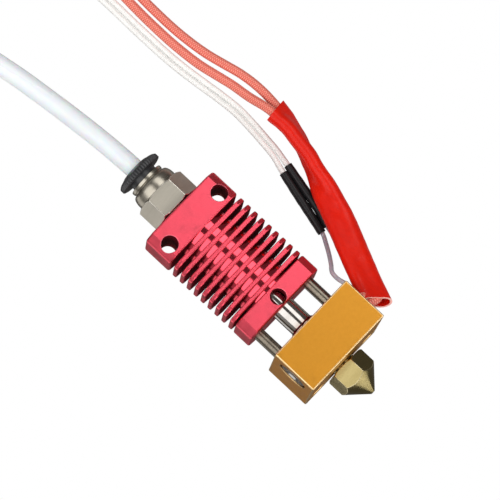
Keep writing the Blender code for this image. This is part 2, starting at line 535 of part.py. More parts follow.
def ferrules(metal):
    """Crimped end sleeves of the two heater leads, lying on top of their coil."""
    for name, angle, reach in FERRULE_PLACES:
        radial = Vector((math.cos(angle), math.sin(angle), 0))
        ahead = Vector((-math.sin(angle), math.cos(angle), 0))
        start = Vector((COIL_X, COIL_Y, FERRULE_Z)) + radial * reach
        collar, pin = FERRULE_COLLAR_RADIUS, FERRULE_PIN_RADIUS
        profile = [(0, 0), (0, collar), (FERRULE_COLLAR_LENGTH, collar - 0.2 * MM),
                   (FERRULE_COLLAR_LENGTH + 0.5 * MM, pin), (FERRULE_LENGTH, pin), (FERRULE_LENGTH, 0)]
        obj = turned(name, profile, metal, "Z", (0, 0, 0), 16)
        obj.rotation_mode = "QUATERNION"
        obj.rotation_quaternion = ahead.to_track_quat("Z", "Y")
        obj.location = start


def build():
    clear_scene()
    red_anodised = material("red_anodised", (0.78, 0.09, 0.14), 0.42, 0.85)
    nickel = material("nickel", (0.62, 0.58, 0.52), 0.3, 1.0)
    polished = material("polished_steel", (0.6, 0.58, 0.56), 0.15, 1.0)
    dark_steel = material("dark_steel", (0.13, 0.12, 0.11), 0.35, 1.0)
    gold = material("gold_anodised", (0.75, 0.4, 0.07), 0.5, 0.7)
    brass = material("brass", (0.72, 0.58, 0.3), 0.28, 1.0)
    black_plastic = material("black_plastic", (0.02, 0.02, 0.022), 0.45)
    clear_tube = material("filament_tube", (0.85, 0.88, 0.93), 0.35)
    red_silicone = material("red_silicone", (0.8, 0.05, 0.02), 0.45)
    red_lead = material("red_lead", (0.7, 0.12, 0.12), 0.6)
    white_lead = material("white_lead", (0.75, 0.75, 0.73), 0.55)
    grey_sleeve = material("grey_sleeve", (0.55, 0.52, 0.56), 0.4)
    black_shrink = material("black_shrink", (0.02, 0.02, 0.02), 0.5)
    ceramic = material("ceramic", (0.8, 0.78, 0.72), 0.8)
    glass = material("glass_bead", (0.45, 0.25, 0.15), 0.2)
    rubber = material("seal_rubber", (0.03, 0.03, 0.03), 0.7)
    white_plastic = material("white_plastic", (0.85, 0.84, 0.8), 0.45)
    tin = material("tinned_copper", (0.7, 0.68, 0.64), 0.3, 1.0)

    heatsink(red_anodised)
    fitting(nickel, rubber, polished, black_plastic)
    throat(polished)
    heater_block(gold)
    block_screws(dark_steel)
    set_screws(dark_steel)
    nozzle(brass)
    cartridge(polished, ceramic)
    sensor(glass)

    inner_top = COLLET_TOP_Y + 0.5 * MM
    liner = [(THROAT_BOTTOM_Y, TUBE_BORE), (THROAT_BOTTOM_Y, TUBE_RADIUS), (inner_top, TUBE_RADIUS),
             (inner_top, TUBE_BORE)]
    turned("filament_tube_inner", liner, clear_tube, segments=20)
    tube("filament_tube_run", millimetres(TUBE_ROUTE), TUBE_RADIUS, clear_tube, sides=3, step=1.0)
    ring_coil("filament_tube_coil", TUBE_COIL, clear_tube)

    heater_sleeve(red_silicone)
    heater_leads(red_lead)
    ring_coil("heater_lead_coil", LEAD_COIL, red_lead)
    ferrules(tin)

    tube("sensor_lead_a", millimetres(SENSOR_A_ROUTE), SENSOR_LEAD_RADIUS, grey_sleeve)
    tube("sensor_lead_b", millimetres(SENSOR_B_ROUTE), SENSOR_LEAD_RADIUS, grey_sleeve)
    tube("heat_shrink_a", millimetres(SHRINK_A_ROUTE), SHRINK_RADIUS, black_shrink)
    tube("heat_shrink_b", millimetres(SHRINK_B_ROUTE), SHRINK_RADIUS, black_shrink)
    tube("sensor_wire_a", millimetres(WIRE_A_RUN), WIRE_RADIUS, white_lead)
    tube("sensor_wire_b", millimetres(WIRE_B_RUN), WIRE_RADIUS, white_lead)
    ring_coil("sensor_wire_coil", WIRE_COIL, white_lead)
    tube("sensor_tail_a", millimetres(WIRE_A_TAIL), WIRE_RADIUS, white_lead)
    tube("sensor_tail_b", millimetres(WIRE_B_TAIL), WIRE_RADIUS, white_lead)
    connector(white_plastic, tin)


build()
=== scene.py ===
"""Looks of the hotend assembly: fine meshes, cords at their real length, materials, light and camera."""
import math

import bmesh
import bpy
from mathutils import Matrix, Vector, noise


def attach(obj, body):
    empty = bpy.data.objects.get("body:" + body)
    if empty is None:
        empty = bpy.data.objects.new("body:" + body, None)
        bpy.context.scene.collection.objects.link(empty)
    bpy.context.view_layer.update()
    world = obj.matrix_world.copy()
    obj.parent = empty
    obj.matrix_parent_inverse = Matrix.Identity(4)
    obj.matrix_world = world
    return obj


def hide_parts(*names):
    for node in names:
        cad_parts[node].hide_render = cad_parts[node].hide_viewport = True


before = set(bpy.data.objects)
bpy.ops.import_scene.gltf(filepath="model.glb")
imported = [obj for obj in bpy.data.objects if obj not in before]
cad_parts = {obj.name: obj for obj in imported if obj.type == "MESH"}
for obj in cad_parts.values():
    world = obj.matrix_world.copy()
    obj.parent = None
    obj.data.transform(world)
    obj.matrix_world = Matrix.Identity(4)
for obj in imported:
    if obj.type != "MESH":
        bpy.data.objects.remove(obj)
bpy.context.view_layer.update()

MM = 0.001
AXIS = Vector((0.0, 0.0, 6.0 * MM))         # the filament path runs along Y through this point

# Coils of stored cord, round the same centre
COIL_CENTRE = Vector((7.0 * MM, 96.0 * MM, 0.0))
TIE_LIFT = 0.35 * MM                        # the turns rest on their ties

# Routes of the cords (millimetres). They are the solids' own, carried a little further into the pieces at
# their ends, except that the heater leads' starts and the sensor wires' tails bend differently.
TUBE_ROUTE = [(0.0, 13.0, 6.0), (0.0, 16.5, 6.0), (-0.1, 21.0, 5.7), (-0.3, 27.0, 4.6), (-0.6, 33.0, 3.2),
              (-1.1, 39.0, 2.3), (-1.8, 45.0, 2.0), (-2.8, 51.0, 2.0), (-4.2, 57.5, 2.0), (-6.3, 65.0, 2.0),
              (-9.0, 73.0, 2.0), (-12.6, 79.5, 2.0)]
SLEEVE_ROUTE = [(13.9, -34.6, 13.3), (15.4, -31.0, 11.7), (17.4, -26.5, 9.2), (20.8, -19.2, 5.8),
                (23.2, -13.4, 4.2), (26.3, -5.6, 3.5), (28.0, 1.0, 2.95), (28.4, 4.5, 2.6)]
LEAD_A_START = [(9.0, -33.9, 14.9), (10.75, -34.2, 14.9), (11.6, -34.6, 14.5)]
LEAD_B_START = [(9.0, -35.9, 14.9), (10.75, -36.0, 14.9), (12.1, -36.3, 14.5), (13.2, -36.2, 13.7)]
LEAD_B_RUN = [(26.9, 10.4, 1.5), (26.5, 14.2, 1.05), (25.8, 17.6, 1.05), (25.1, 21.0, 1.05),
              (24.5, 27.0, 1.05), (24.4, 35.0, 1.05), (24.8, 44.0, 1.05), (25.1, 54.0, 1.6),
              (24.6, 64.0, 4.6), (23.4, 73.0, 8.3), (22.4, 79.0, 9.8), (21.7, 85.8, 9.8)]
LEAD_A_RUN = [(29.7, 11.0, 1.2), (29.3, 14.6, 1.05), (28.5, 18.0, 1.05), (27.6, 22.0, 1.05),
              (26.9, 28.0, 1.05), (26.8, 36.0, 1.05), (27.2, 44.0, 1.05), (27.6, 54.0, 1.6),
              (27.2, 64.0, 4.6), (25.9, 73.0, 8.3), (24.9, 80.0, 9.8), (24.3, 86.0, 9.8), (23.6, 90.0, 9.8)]
SHRINK_A_ROUTE = [(17.1, -19.0, 0.87), (18.3, -14.4, 0.87), (19.5, -9.6, 0.87), (20.6, -5.3, 0.87)]
SHRINK_B_ROUTE = [(18.8, -18.9, 0.87), (20.1, -14.8, 0.87), (21.2, -10.0, 0.87), (22.35, -4.9, 0.87)]
SENSOR_A_ROUTE = [(8.4, -34.0, 9.5), (9.2, -34.0, 9.45), (10.8, -33.7, 9.4), (11.5, -32.4, 9.2),
                  (11.5, -30.0, 8.8), (11.2, -28.0, 8.2), (11.5, -26.4, 7.1), (13.0, -24.8, 5.0),
                  (14.6, -23.0, 2.8), (16.1, -20.9, 1.3), (17.0, -19.4, 0.87), (17.6, -17.3, 0.87)]
SENSOR_B_ROUTE = [(8.4, -34.0, 10.5), (9.2, -34.0, 10.55), (10.9, -34.0, 10.5), (12.6, -33.2, 9.9),
                  (13.6, -31.0, 8.8), (14.6, -28.6, 6.9), (15.7, -26.2, 4.6), (17.0, -23.6, 2.5),
                  (18.1, -21.2, 1.2), (18.6, -19.4, 0.87), (19.2, -17.4, 0.87)]
WIRE_RUN = [(22.2, 2.0, 0.65), (22.6, 6.0, 0.65), (22.8, 10.0, 0.65), (22.5, 14.0, 0.65),
            (21.9, 19.0, 0.65), (21.3, 25.0, 0.65), (21.1, 34.0, 0.65), (21.2, 44.0, 0.65),
            (20.8, 54.0, 1.2), (19.8, 64.0, 4.6), (18.3, 72.0, 8.9), (17.1, 78.0, 11.8), (16.2, 84.0, 13.6)]
WIRE_SPACING = 1.3                          # wire b runs this far beside wire a
WIRE_A_RUN = [(20.2, -6.8, 0.85), (20.7, -4.9, 0.8), (21.7, -1.6, 0.75), *WIRE_RUN, (15.15, 91.8, 14.2)]
WIRE_B_RUN = [(21.8, -7.2, 0.85), (22.4, -4.5, 0.8), (23.1, -1.2, 0.75),
              *((x + WIRE_SPACING, y, z) for x, y, z in WIRE_RUN), (16.7, 90.5, 14.0), (16.4, 94.5, 14.0)]
WIRE_A_TAIL = [(7.2, 103.1, 16.4), (4.0, 106.6, 16.4), (2.7, 107.6, 16.2), (1.0, 108.05, 16.0),
               (-0.85, 108.0, 15.7), (-2.3, 107.55, 15.55), (-3.34, 106.59, 15.5), (-3.9, 105.62, 15.5)]
WIRE_B_TAIL = [(6.3, 102.2, 16.4), (3.03, 105.75, 16.4), (1.65, 106.55, 16.0), (0.05, 106.4, 15.65),
               (-1.18, 105.34, 15.5), (-1.74, 104.37, 15.5)]

# Sections of the cords
SLEEVE_HALF_WIDTH, SLEEVE_HALF_THICKNESS, SLEEVE_WALL = 2.95 * MM, 1.65 * MM, 0.4 * MM
MOUTH_SLANT, FAR_END_SLANT = 3.4 * MM, 1.5 * MM         # the sleeve's two ends are cut obliquely
MOUTH_PULL = 1.1 * MM                       # the mouth is pressed against the block's side
LEAD_OFFSET = 1.12 * MM                     # each lead's distance from the sleeve's middle
# Twist of the sleeve, as (share of its length, degrees)
SLEEVE_TWISTS = [(0.0, -20.0), (0.2, 0.0), (0.35, 8.0), (0.5, 35.0), (0.7, 85.0), (0.85, 112.0), (1.0, 140.0)]
LEAD_RADIUS, WIRE_RADIUS, SENSOR_LEAD_RADIUS, SHRINK_RADIUS = 0.95 * MM, 0.6 * MM, 0.45 * MM, 0.86 * MM
TUBE_RADIUS, TUBE_BORE = 2.0 * MM, 1.0 * MM
LEAD_LAYER, WIRE_LAYER = 1.95 * MM, 1.23 * MM           # height of one layer of turns in a coil
TURN_POINTS = 24                            # route points in one turn of a coil


# ---------------------------------------------------------------- materials

def link(tree, *links):
    """Joins shader nodes; each link is (node, output, node, input)."""
    for source, output, target, socket in links:
        tree.links.new(source.outputs[output], target.inputs[socket])


def set_inputs(node, inputs):
    for socket, value in inputs.items():
        node.inputs[socket.replace("_", " ")].default_value = value


def add_node(tree, kind, **inputs):
    """A shader node of a kind, with constants on the named inputs."""
    node = tree.nodes.new("ShaderNode" + kind)
    set_inputs(node, inputs)
    return node


def new_material(name, **inputs):
    """A material with its tree and its shader, which has constants on the named inputs."""
    mat = bpy.data.materials.new(name)
    mat.use_nodes = True
    shader = mat.node_tree.nodes["Principled BSDF"]
    set_inputs(shader, inputs)
    return mat, mat.node_tree, shader


def two_tone(tree, dark, light, dark_until, light_from):
    """A colour ramp between two colours."""
    ramp = add_node(tree, "ValToRGB")
    low, high = ramp.color_ramp.elements
    low.position, high.position = dark_until, light_from
    low.color, high.color = (*dark, 1.0), (*light, 1.0)
    return ramp


def surface(name, light, dark, roughness, metallic=0.0, grain=2500.0, stretch=(1.0, 1.0, 1.0), relief=0.004,
            spread=0.08, **fixed):
    """A material with grained colour, grained roughness and fine relief (millimetres); grain is per metre."""
    mat, tree, shader = new_material(name, Metallic=metallic, **fixed)
    place = add_node(tree, "TexCoord")
    mapping = add_node(tree, "Mapping", Scale=[grain * s for s in stretch])
    broad = add_node(tree, "TexNoise", Scale=0.12, Detail=5.0)
    fine = add_node(tree, "TexNoise", Scale=1.0, Detail=3.0)
    ramp = two_tone(tree, dark, light, 0.35, 0.65)
    blend = add_node(tree, "Mix")
    blend.data_type = "FLOAT"
    blend.inputs["Factor"].default_value = 0.45
    gloss = add_node(tree, "MapRange", From_Min=0.3, From_Max=0.7, To_Min=roughness + spread,
                     To_Max=roughness - spread)
    bump = add_node(tree, "Bump", Strength=1.0, Distance=relief * MM)
    link(tree, (place, "Object", mapping, "Vector"), (mapping, 0, broad, "Vector"),
         (mapping, 0, fine, "Vector"), (broad, "Fac", blend, "A"), (fine, "Fac", blend, "B"),
         (blend, "Result", ramp, "Fac"), (ramp, "Color", shader, "Base Color"),
         (broad, "Fac", gloss, "Value"), (gloss, "Result", shader, "Roughness"),
         (fine, "Fac", bump, "Height"), (bump, "Normal", shader, "Normal"))
    return mat


def add_rings(mat, scale, relief):
    """Adds the concentric marks that a lathe leaves round the filament path to a material's relief."""
    tree = mat.node_tree
    bump = next(node for node in tree.nodes if node.type == "BUMP")
    place = add_node(tree, "TexCoord")
    mapping = add_node(tree, "Mapping", Location=-AXIS)
    wave = add_node(tree, "TexWave", Scale=scale, Distortion=1.5)
    wave.wave_type, wave.rings_direction = "RINGS", "Y"
    ring_bump = add_node(tree, "Bump", Distance=relief * MM)
    link(tree, (place, "Object", mapping, "Vector"), (mapping, 0, wave, "Vector"),
         (wave, "Fac", ring_bump, "Height"), (ring_bump, "Normal", bump, "Normal"))
    return mat


BRAID_WAVE = 0.3183                         # wave scale: about one strand in two units of the scaled UV


def braided(name, light, dark, roughness, pitch, strands, relief):
    """A braid of crossing strands on a swept cord; its UV runs along the cord in metres and once round it."""
    mat, tree, shader = new_material(name, Roughness=roughness, Sheen_Weight=0.3, Sheen_Roughness=0.4)
    place = add_node(tree, "TexCoord")
    waves = []
    for sense in (1, -1):
        mapping = add_node(tree, "Mapping", Scale=(1.0 / pitch, sense * strands, 1.0))
        wave = add_node(tree, "TexWave", Scale=BRAID_WAVE)
        wave.wave_type, wave.bands_direction = "BANDS", "DIAGONAL"
        link(tree, (place, "UV", mapping, "Vector"), (mapping, 0, wave, "Vector"))
        waves.append(wave)
    weave = add_node(tree, "Math")
    weave.operation = "MULTIPLY"
    ramp = two_tone(tree, dark, light, 0.05, 0.6)
    bump = add_node(tree, "Bump", Distance=relief * MM)
    link(tree, (waves[0], "Fac", weave, 0), (waves[1], "Fac", weave, 1), (weave, 0, ramp, "Fac"),
         (ramp, "Color", shader, "Base Color"), (weave, 0, bump, "Height"),
         (bump, "Normal", shader, "Normal"))
    return mat


def heat_tint(mat, cool_y, hot_y, tint):
    """Colours a metal straw-brown between two places along Y, as heat does."""
    tree = mat.node_tree
    shader = tree.nodes["Principled BSDF"]
    before = shader.inputs["Base Color"].links[0].from_socket
    place = add_node(tree, "TexCoord")
    split = add_node(tree, "SeparateXYZ")
    along = add_node(tree, "MapRange", From_Min=cool_y, From_Max=hot_y)
    mix = add_node(tree, "Mix")
    mix.data_type = "RGBA"
    mix.inputs["B"].default_value = (*tint, 1.0)
    tree.links.new(before, mix.inputs["A"])
    link(tree, (place, "Object", split, 0), (split, "Y", along, "Value"), (along, "Result", mix, "Factor"),
         (mix, "Result", shader, "Base Color"))
    return mat


red = surface("red_anodised", (1.0, 0.115, 0.165), (0.88, 0.090, 0.135), 0.36, 1.0, 6500, relief=0.005)
# a lighter copy of the red anodising: painted highlight on the rounded rims of the heatsink's holes
red_painted_highlight = surface("red_anodised_painted_highlight", (1.0, 0.24, 0.30), (0.95, 0.16, 0.22), 0.33, 1.0, 6500, relief=0.005)
# a dark maroon copy of the red anodising: painted shade on the hole walls and on the faces that look into the
# gaps between the fins
red_painted_shade = surface("red_anodised_painted_shade", (0.34, 0.022, 0.040), (0.24, 0.015, 0.028), 0.5, 0.6, 5200,
                    relief=0.006, Specular_Tint=(0.25, 0.03, 0.05, 1.0), Specular_IOR_Level=0.15)
red_turned = add_rings(surface("red_anodised_turned", (0.86, 0.085, 0.12), (0.72, 0.068, 0.10), 0.13, 1.0,
                               4200, (0.3, 1.0, 0.3), 0.001, 0.03), 2500, 0.0008)
nickel = surface("nickel", (0.40, 0.37, 0.31), (0.35, 0.32, 0.265), 0.27, 1.0, 3000, (0.15, 1.0, 0.15), 0.003)
nickel_flat = surface("nickel_flat", (0.50, 0.465, 0.395), (0.44, 0.41, 0.345), 0.38, 1.0, 3000,
                      (0.15, 1.0, 0.15), 0.004)
# a much lighter copy of the nickel: painted highlight on the fitting hexagon's rounded corners
nickel_painted_highlight = surface("nickel_painted_highlight", (0.80, 0.77, 0.70), (0.70, 0.66, 0.58), 0.24, 1.0, 3000, relief=0.002)
polished = surface("polished_steel", (0.58, 0.56, 0.54), (0.48, 0.46, 0.44), 0.14, 1.0, 4000,
                   (0.1, 1.0, 0.1), 0.0015, 0.04)
throat_steel = heat_tint(surface("throat_steel", (0.50, 0.475, 0.45), (0.42, 0.395, 0.37), 0.12, 1.0, 4000,
                                 (0.1, 1.0, 0.1), 0.0015, 0.04), -27.6 * MM, -30.2 * MM, (0.22, 0.12, 0.07))
dark_steel = surface("dark_steel", (0.24, 0.21, 0.165), (0.14, 0.12, 0.095), 0.28, 1.0, 3500,
                     (0.3, 1.0, 0.3), 0.004)
gold = surface("gold_anodised", (0.66, 0.285, 0.020), (0.61, 0.26, 0.017), 0.40, 0.9, 9000, relief=0.005,
               Coat_Weight=0.25, Coat_Roughness=0.35)
# a cream copy of the gold anodising: painted highlight on the heater block's rounded edges and hole rims
gold_painted_highlight = surface("gold_anodised_painted_highlight", (0.90, 0.66, 0.36), (0.80, 0.52, 0.22), 0.34, 1.0, 6500,
                    relief=0.005)
# a dark copy of the gold anodising: painted shade on the walls of the block's holes
gold_painted_shade = surface("gold_painted_bore_shade", (0.30, 0.13, 0.03), (0.20, 0.085, 0.02), 0.5, 1.0, 5200, relief=0.006)
brass = add_rings(surface("brass", (0.32, 0.26, 0.115), (0.275, 0.22, 0.09), 0.22, 1.0, 3500,
                          (0.2, 1.0, 0.2), 0.003), 6000, 0.002)
# a lighter copy of the brass: painted highlight on the nozzle's rounded edges
brass_painted_highlight = surface("brass_painted_highlight", (0.60, 0.52, 0.32), (0.52, 0.43, 0.24), 0.22, 1.0, 3500, relief=0.002)
black_plastic = surface("black_plastic", (0.035, 0.035, 0.038), (0.018, 0.018, 0.02), 0.38, 0.0, 4000,
                        relief=0.006)
clear_tube = surface("filament_tube", (0.95, 0.965, 1.0), (0.88, 0.91, 0.98), 0.32, 0.0, 900,
                     (1.0, 0.15, 1.0), 0.01, Subsurface_Weight=0.35, Subsurface_Scale=0.002,
                     Transmission_Weight=0.12, IOR=1.38)
silicone = surface("red_silicone", (0.76, 0.013, 0.0025), (0.64, 0.008, 0.002), 0.34, 0.0, 1500,
                   (1.0, 0.5, 1.0), 0.02, Specular_IOR_Level=0.2)
silicone_cut = surface("red_silicone_cut", (0.98, 0.60, 0.54), (0.92, 0.38, 0.32), 0.55, 0.0, 4000,
                       relief=0.02)
red_braid = braided("red_lead", (0.95, 0.33, 0.24), (0.68, 0.11, 0.075), 0.55, 0.00022, 7, 0.03)
white_wire = surface("white_lead", (0.88, 0.87, 0.845), (0.81, 0.80, 0.77), 0.36, 0.0, 700, Sheen_Weight=0.1)
grey_sleeve = surface("grey_sleeve", (0.58, 0.53, 0.60), (0.44, 0.40, 0.46), 0.28, 0.0, 1800, relief=0.01,
                      Subsurface_Weight=0.25, Subsurface_Scale=0.0006, Coat_Weight=0.4, Coat_Roughness=0.15)
shrink = surface("black_shrink", (0.014, 0.014, 0.015), (0.006, 0.006, 0.007), 0.38, 0.0, 1600,
                 (1.0, 0.6, 1.0), 0.03, Specular_IOR_Level=0.25)
ceramic = surface("ceramic", (0.82, 0.80, 0.74), (0.62, 0.58, 0.50), 0.8, 0.0, 3500, relief=0.05)
glass = surface("glass_bead", (0.50, 0.26, 0.14), (0.36, 0.17, 0.09), 0.15, 0.0, 2500, relief=0.004,
                Coat_Weight=0.6)
rubber = surface("seal_rubber", (0.03, 0.03, 0.03), (0.015, 0.015, 0.016), 0.6, 0.0, 2500, relief=0.01)
nylon = surface("white_plastic", (0.84, 0.83, 0.78), (0.76, 0.74, 0.68), 0.42, 0.0, 3000, relief=0.01,
                Subsurface_Weight=0.15, Subsurface_Scale=0.001)
tin = surface("tinned_copper", (0.66, 0.64, 0.61), (0.52, 0.50, 0.47), 0.27, 1.0, 3000, relief=0.006)
tie_plastic = surface("tie_plastic", (0.05, 0.05, 0.055), (0.025, 0.025, 0.028), 0.5, 0.0, 3000, relief=0.01)


# ---------------------------------------------------------------- mesh helpers

SHARP_ANGLE = 35.0                          # degrees between faces from which an edge shades sharply


def link_object(name, data):
    obj = bpy.data.objects.new(name, data)
    bpy.context.scene.collection.objects.link(obj)
    return obj


def add_piece(name, bm, mats, slot, body="hotend", replaces=(), smooth_angle=SHARP_ANGLE):
    """Links a bmesh as a visible piece that rides on a body."""
    bm.normal_update()
    bmesh.ops.recalc_face_normals(bm, faces=bm.faces)
    mesh = bpy.data.meshes.new(name)
    bm.to_mesh(mesh)
    bm.free()
    for mat in mats:
        mesh.materials.append(mat)
    if smooth_angle is not None:
        mesh.shade_smooth()
        mesh.set_sharp_from_angle(angle=math.radians(smooth_angle))
    obj = link_object(name, mesh)
    if slot:
        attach(obj, body)
        if replaces:
            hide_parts(*replaces)
    return obj


def bake(obj):
    """Applies an object's modifiers to its mesh."""
    bpy.context.view_layer.update()
    graph = bpy.context.evaluated_depsgraph_get()
    mesh = bpy.data.meshes.new_from_object(obj.evaluated_get(graph))
    obj.modifiers.clear()
    obj.data = mesh


def carve(obj, *tools, operation="DIFFERENCE"):
    """Cuts, joins or intersects an object with tools, which are then removed."""
    for tool in tools:
        modifier = obj.modifiers.new(tool.name, "BOOLEAN")
        modifier.operation = operation
        modifier.solver = "EXACT"
        modifier.object = tool
    bake(obj)
    obj.data.shade_smooth()
    obj.data.set_sharp_from_angle(angle=math.radians(SHARP_ANGLE))
    for tool in tools:
        bpy.data.objects.remove(tool, do_unlink=True)


def ease_edges(obj, width, segments=2, angle=60.0, edge_material=None):
    """Rounds the sharp edges; edge_material is the slot that the new faces take."""
    modifier = obj.modifiers.new("eased_edges", "BEVEL")
    modifier.width = width
    modifier.segments = segments
    modifier.limit_method = "ANGLE"
    modifier.angle_limit = math.radians(angle)
    modifier.use_clamp_overlap = False
    if edge_material is not None:
        modifier.material = edge_material


def cut_block(obj, width, segments, edge_material, cuts, rim):
    """Rounds a block's edges by width, cuts it, then eases the cuts' rims and keeps its faces flat."""
    ease_edges(obj, width, segments, edge_material=edge_material)
    bake(obj)
    carve(obj, *cuts)
    # the rims' new faces take slot 1, a lighter copy of the metal: painted highlight
    ease_edges(obj, rim, 2, edge_material=1)
    keep_flats_flat(obj)


def keep_flats_flat(obj):
    """Lets the large faces set the shading, so that only the rounded edges shade smoothly."""
    obj.modifiers.new("weighted_normals", "WEIGHTED_NORMAL").keep_sharp = True


def prism_mesh(bm, outline, start, end, start_slot=0, end_slot=0):
    """Adds an outline of (x, z) points extruded along Y; the slots are the material of its two end faces."""
    bottom = [bm.verts.new((x, start, z)) for x, z in outline]
    top = [bm.verts.new((x, end, z)) for x, z in outline]
    bm.faces.new(bottom).material_index = start_slot
    bm.faces.new(top).material_index = end_slot
    for i in range(len(outline)):
        j = (i + 1) % len(outline)
        bm.faces.new((bottom[i], bottom[j], top[j], top[i]))


def prism(name, outline, start, end, mats, slot, replaces=(), smooth_angle=SHARP_ANGLE, **end_slots):
    bm = bmesh.new()
    prism_mesh(bm, outline, start, end, **end_slots)
    return add_piece(name, bm, mats, slot, replaces=replaces, smooth_angle=smooth_angle)


def turned_mesh(bm, profile, segments=96, centre=AXIS, axis="Y", ridges=0, ridge_depth=0.0):
    """Adds a solid of revolution; profile is (distance along the axis, radius[, True where ridged])."""
    along, first, second = {"X": (0, 1, 2), "Y": (1, 2, 0), "Z": (2, 0, 1)}[axis]
    rings = []
    for distance, radius, *ridged in profile:
        ring = []
        for step in range(segments if radius > 0 else 1):
            angle = 2 * math.pi * step / segments
            reach = radius
            if ridged and ridged[0]:
                reach -= ridge_depth * (0.5 - 0.5 * math.cos(ridges * angle)) ** 2
            point = [0.0, 0.0, 0.0]
            point[along] = distance
            point[first] = reach * math.cos(angle)
            point[second] = reach * math.sin(angle)
            ring.append(bm.verts.new(Vector(point) + Vector(centre)))
        rings.append(ring)
    closed = profile[0][1] > 0
    for low, high in list(zip(rings, rings[1:])) + ([(rings[-1], rings[0])] if closed else []):
        for step in range(segments):
            after = (step + 1) % segments
            corners = [low[step % len(low)], low[after % len(low)],
                       high[after % len(high)], high[step % len(high)]]
            bm.faces.new(dict.fromkeys(corners))


def profile_from(origin, *steps):
    """A profile from (distance beyond the origin, radius[, True where ridged]) steps in millimetres."""
    return [(origin + distance * MM, radius * MM, *ridged) for distance, radius, *ridged in steps]


def turned(name, profile, mats=(), slot=None, body="hotend", replaces=(), **how):
    bm = bmesh.new()
    turned_mesh(bm, profile, **how)
    return add_piece(name, bm, mats, slot, body, replaces)


PAINTED_SHADE_SLOT = 2                                # material slot of a darker copy of the metal: painted shade on hole walls and on faces that look into the gaps between fins


def rod_tool(name, start, end, radius, axis="Y", centre=AXIS, wall_slot=PAINTED_SHADE_SLOT):
    """A round cutter; wall_slot is the target's material slot that the hole's wall takes."""
    tool = turned(name, [(start, 0), (start, radius), (end, radius), (end, 0)], axis=axis, centre=centre,
                  segments=64)
    for face in tool.data.polygons:
        face.material_index = wall_slot
    return tool


def hexagon(across_flats, turn, centre=(0.0, 6.0 * MM)):
    radius = across_flats / math.sqrt(3)
    angles = [turn + math.radians(60 * k) for k in range(6)]
    return [(centre[0] + radius * math.sin(a), centre[1] + radius * math.cos(a)) for a in angles]


def smooth_route(points, spacing):
    """Points evenly spaced along a smooth curve through the route's points, however unevenly those lie."""
    knots = [Vector(p) for p in points]
    spans = [(b - a).length for a, b in zip(knots, knots[1:])]
    slopes = [(b - a) / span for a, b, span in zip(knots, knots[1:], spans)]
    middle = [(before * after_span + after * before_span) / (before_span + after_span)
              for before, after, before_span, after_span in zip(slopes, slopes[1:], spans, spans[1:])]
    tangents = [slopes[0]] + middle + [slopes[-1]]
    fine = []
    steps = 16
    for i, span in enumerate(spans):
        for step in range(steps):
            t = step / steps
            leaving = tangents[i] * span * (t ** 3 - 2 * t ** 2 + t)
            arriving = tangents[i + 1] * span * (t ** 3 - t ** 2)
            fine.append(knots[i] * (2 * t ** 3 - 3 * t ** 2 + 1) + leaving
                        + knots[i + 1] * (3 * t ** 2 - 2 * t ** 3) + arriving)
    fine.append(knots[-1])
    lengths = [0.0]
    for a, b in zip(fine, fine[1:]):
        lengths.append(lengths[-1] + (b - a).length)
    count = max(3, round(lengths[-1] / spacing) + 1)
    route, k = [], 0
    for i in range(count):
        target = lengths[-1] * i / (count - 1)
        while k < len(fine) - 2 and lengths[k + 1] < target:
            k += 1
        share = (target - lengths[k]) / max(lengths[k + 1] - lengths[k], 1e-12)
        route.append(fine[k].lerp(fine[k + 1], min(max(share, 0.0), 1.0)))
    return route


def millimetres(points):
    return [Vector(p) * MM for p in points]


def headings(route):
    """The direction of travel at each point of a route."""
    last = len(route) - 1
    return [(route[min(i + 1, last)] - route[max(i - 1, 0)]).normalized() for i in range(len(route))]


def route_frames(route):
    """Each point of a route with two directions across it, carried along it without twisting."""
    ahead = headings(route)
    across = ahead[0].orthogonal().normalized()
    frames = []
    for i, direction in enumerate(ahead):
        if i:
            across = ahead[i - 1].rotation_difference(direction) @ across
        across = (across - direction * across.dot(direction)).normalized()
        frames.append((route[i], across, direction.cross(across)))
    return frames


def join_rings(bm, low, high):
    """Quads between two rings of points, in order."""
    count = len(low)
    return [bm.faces.new((low[k], low[(k + 1) % count], high[(k + 1) % count], high[k]))
            for k in range(count)]


def sweep(name, route, radius, mats, slot, replaces=(), sides=12, bore=0.0, swell=None):
    """A round cord along a route, with UVs along it in metres and once round it; bore makes it a tube."""
    bm = bmesh.new()
    uv_layer = bm.loops.layers.uv.new("UVMap")
    lengths, total = [0.0], 0.0
    for a, b in zip(route, route[1:]):
        total += (b - a).length
        lengths.append(total)
    skins = []
    for reach in [radius] + ([bore] if bore else []):
        rings = []
        for (centre, across, other), run in zip(route_frames(route), lengths):
            size = reach * (swell(run / total) if swell else 1.0)
            angles = [2 * math.pi * k / sides for k in range(sides)]
            rings.append([bm.verts.new(centre + (across * math.cos(a) + other * math.sin(a)) * size)
                          for a in angles])
        for i, (low, high) in enumerate(zip(rings, rings[1:])):
            for k, face in enumerate(join_rings(bm, low, high)):
                corners = ((lengths[i], k), (lengths[i], k + 1), (lengths[i + 1], k + 1), (lengths[i + 1], k))
                for loop, (u, v) in zip(face.loops, corners):
                    loop[uv_layer].uv = (u, v / sides)
        skins.append(rings)
    for end in (0, -1):
        if bore:
            join_rings(bm, skins[0][end], skins[1][end])
        else:
            bm.faces.new(skins[0][end])
    return add_piece(name, bm, mats, slot, replaces=replaces, smooth_angle=50)


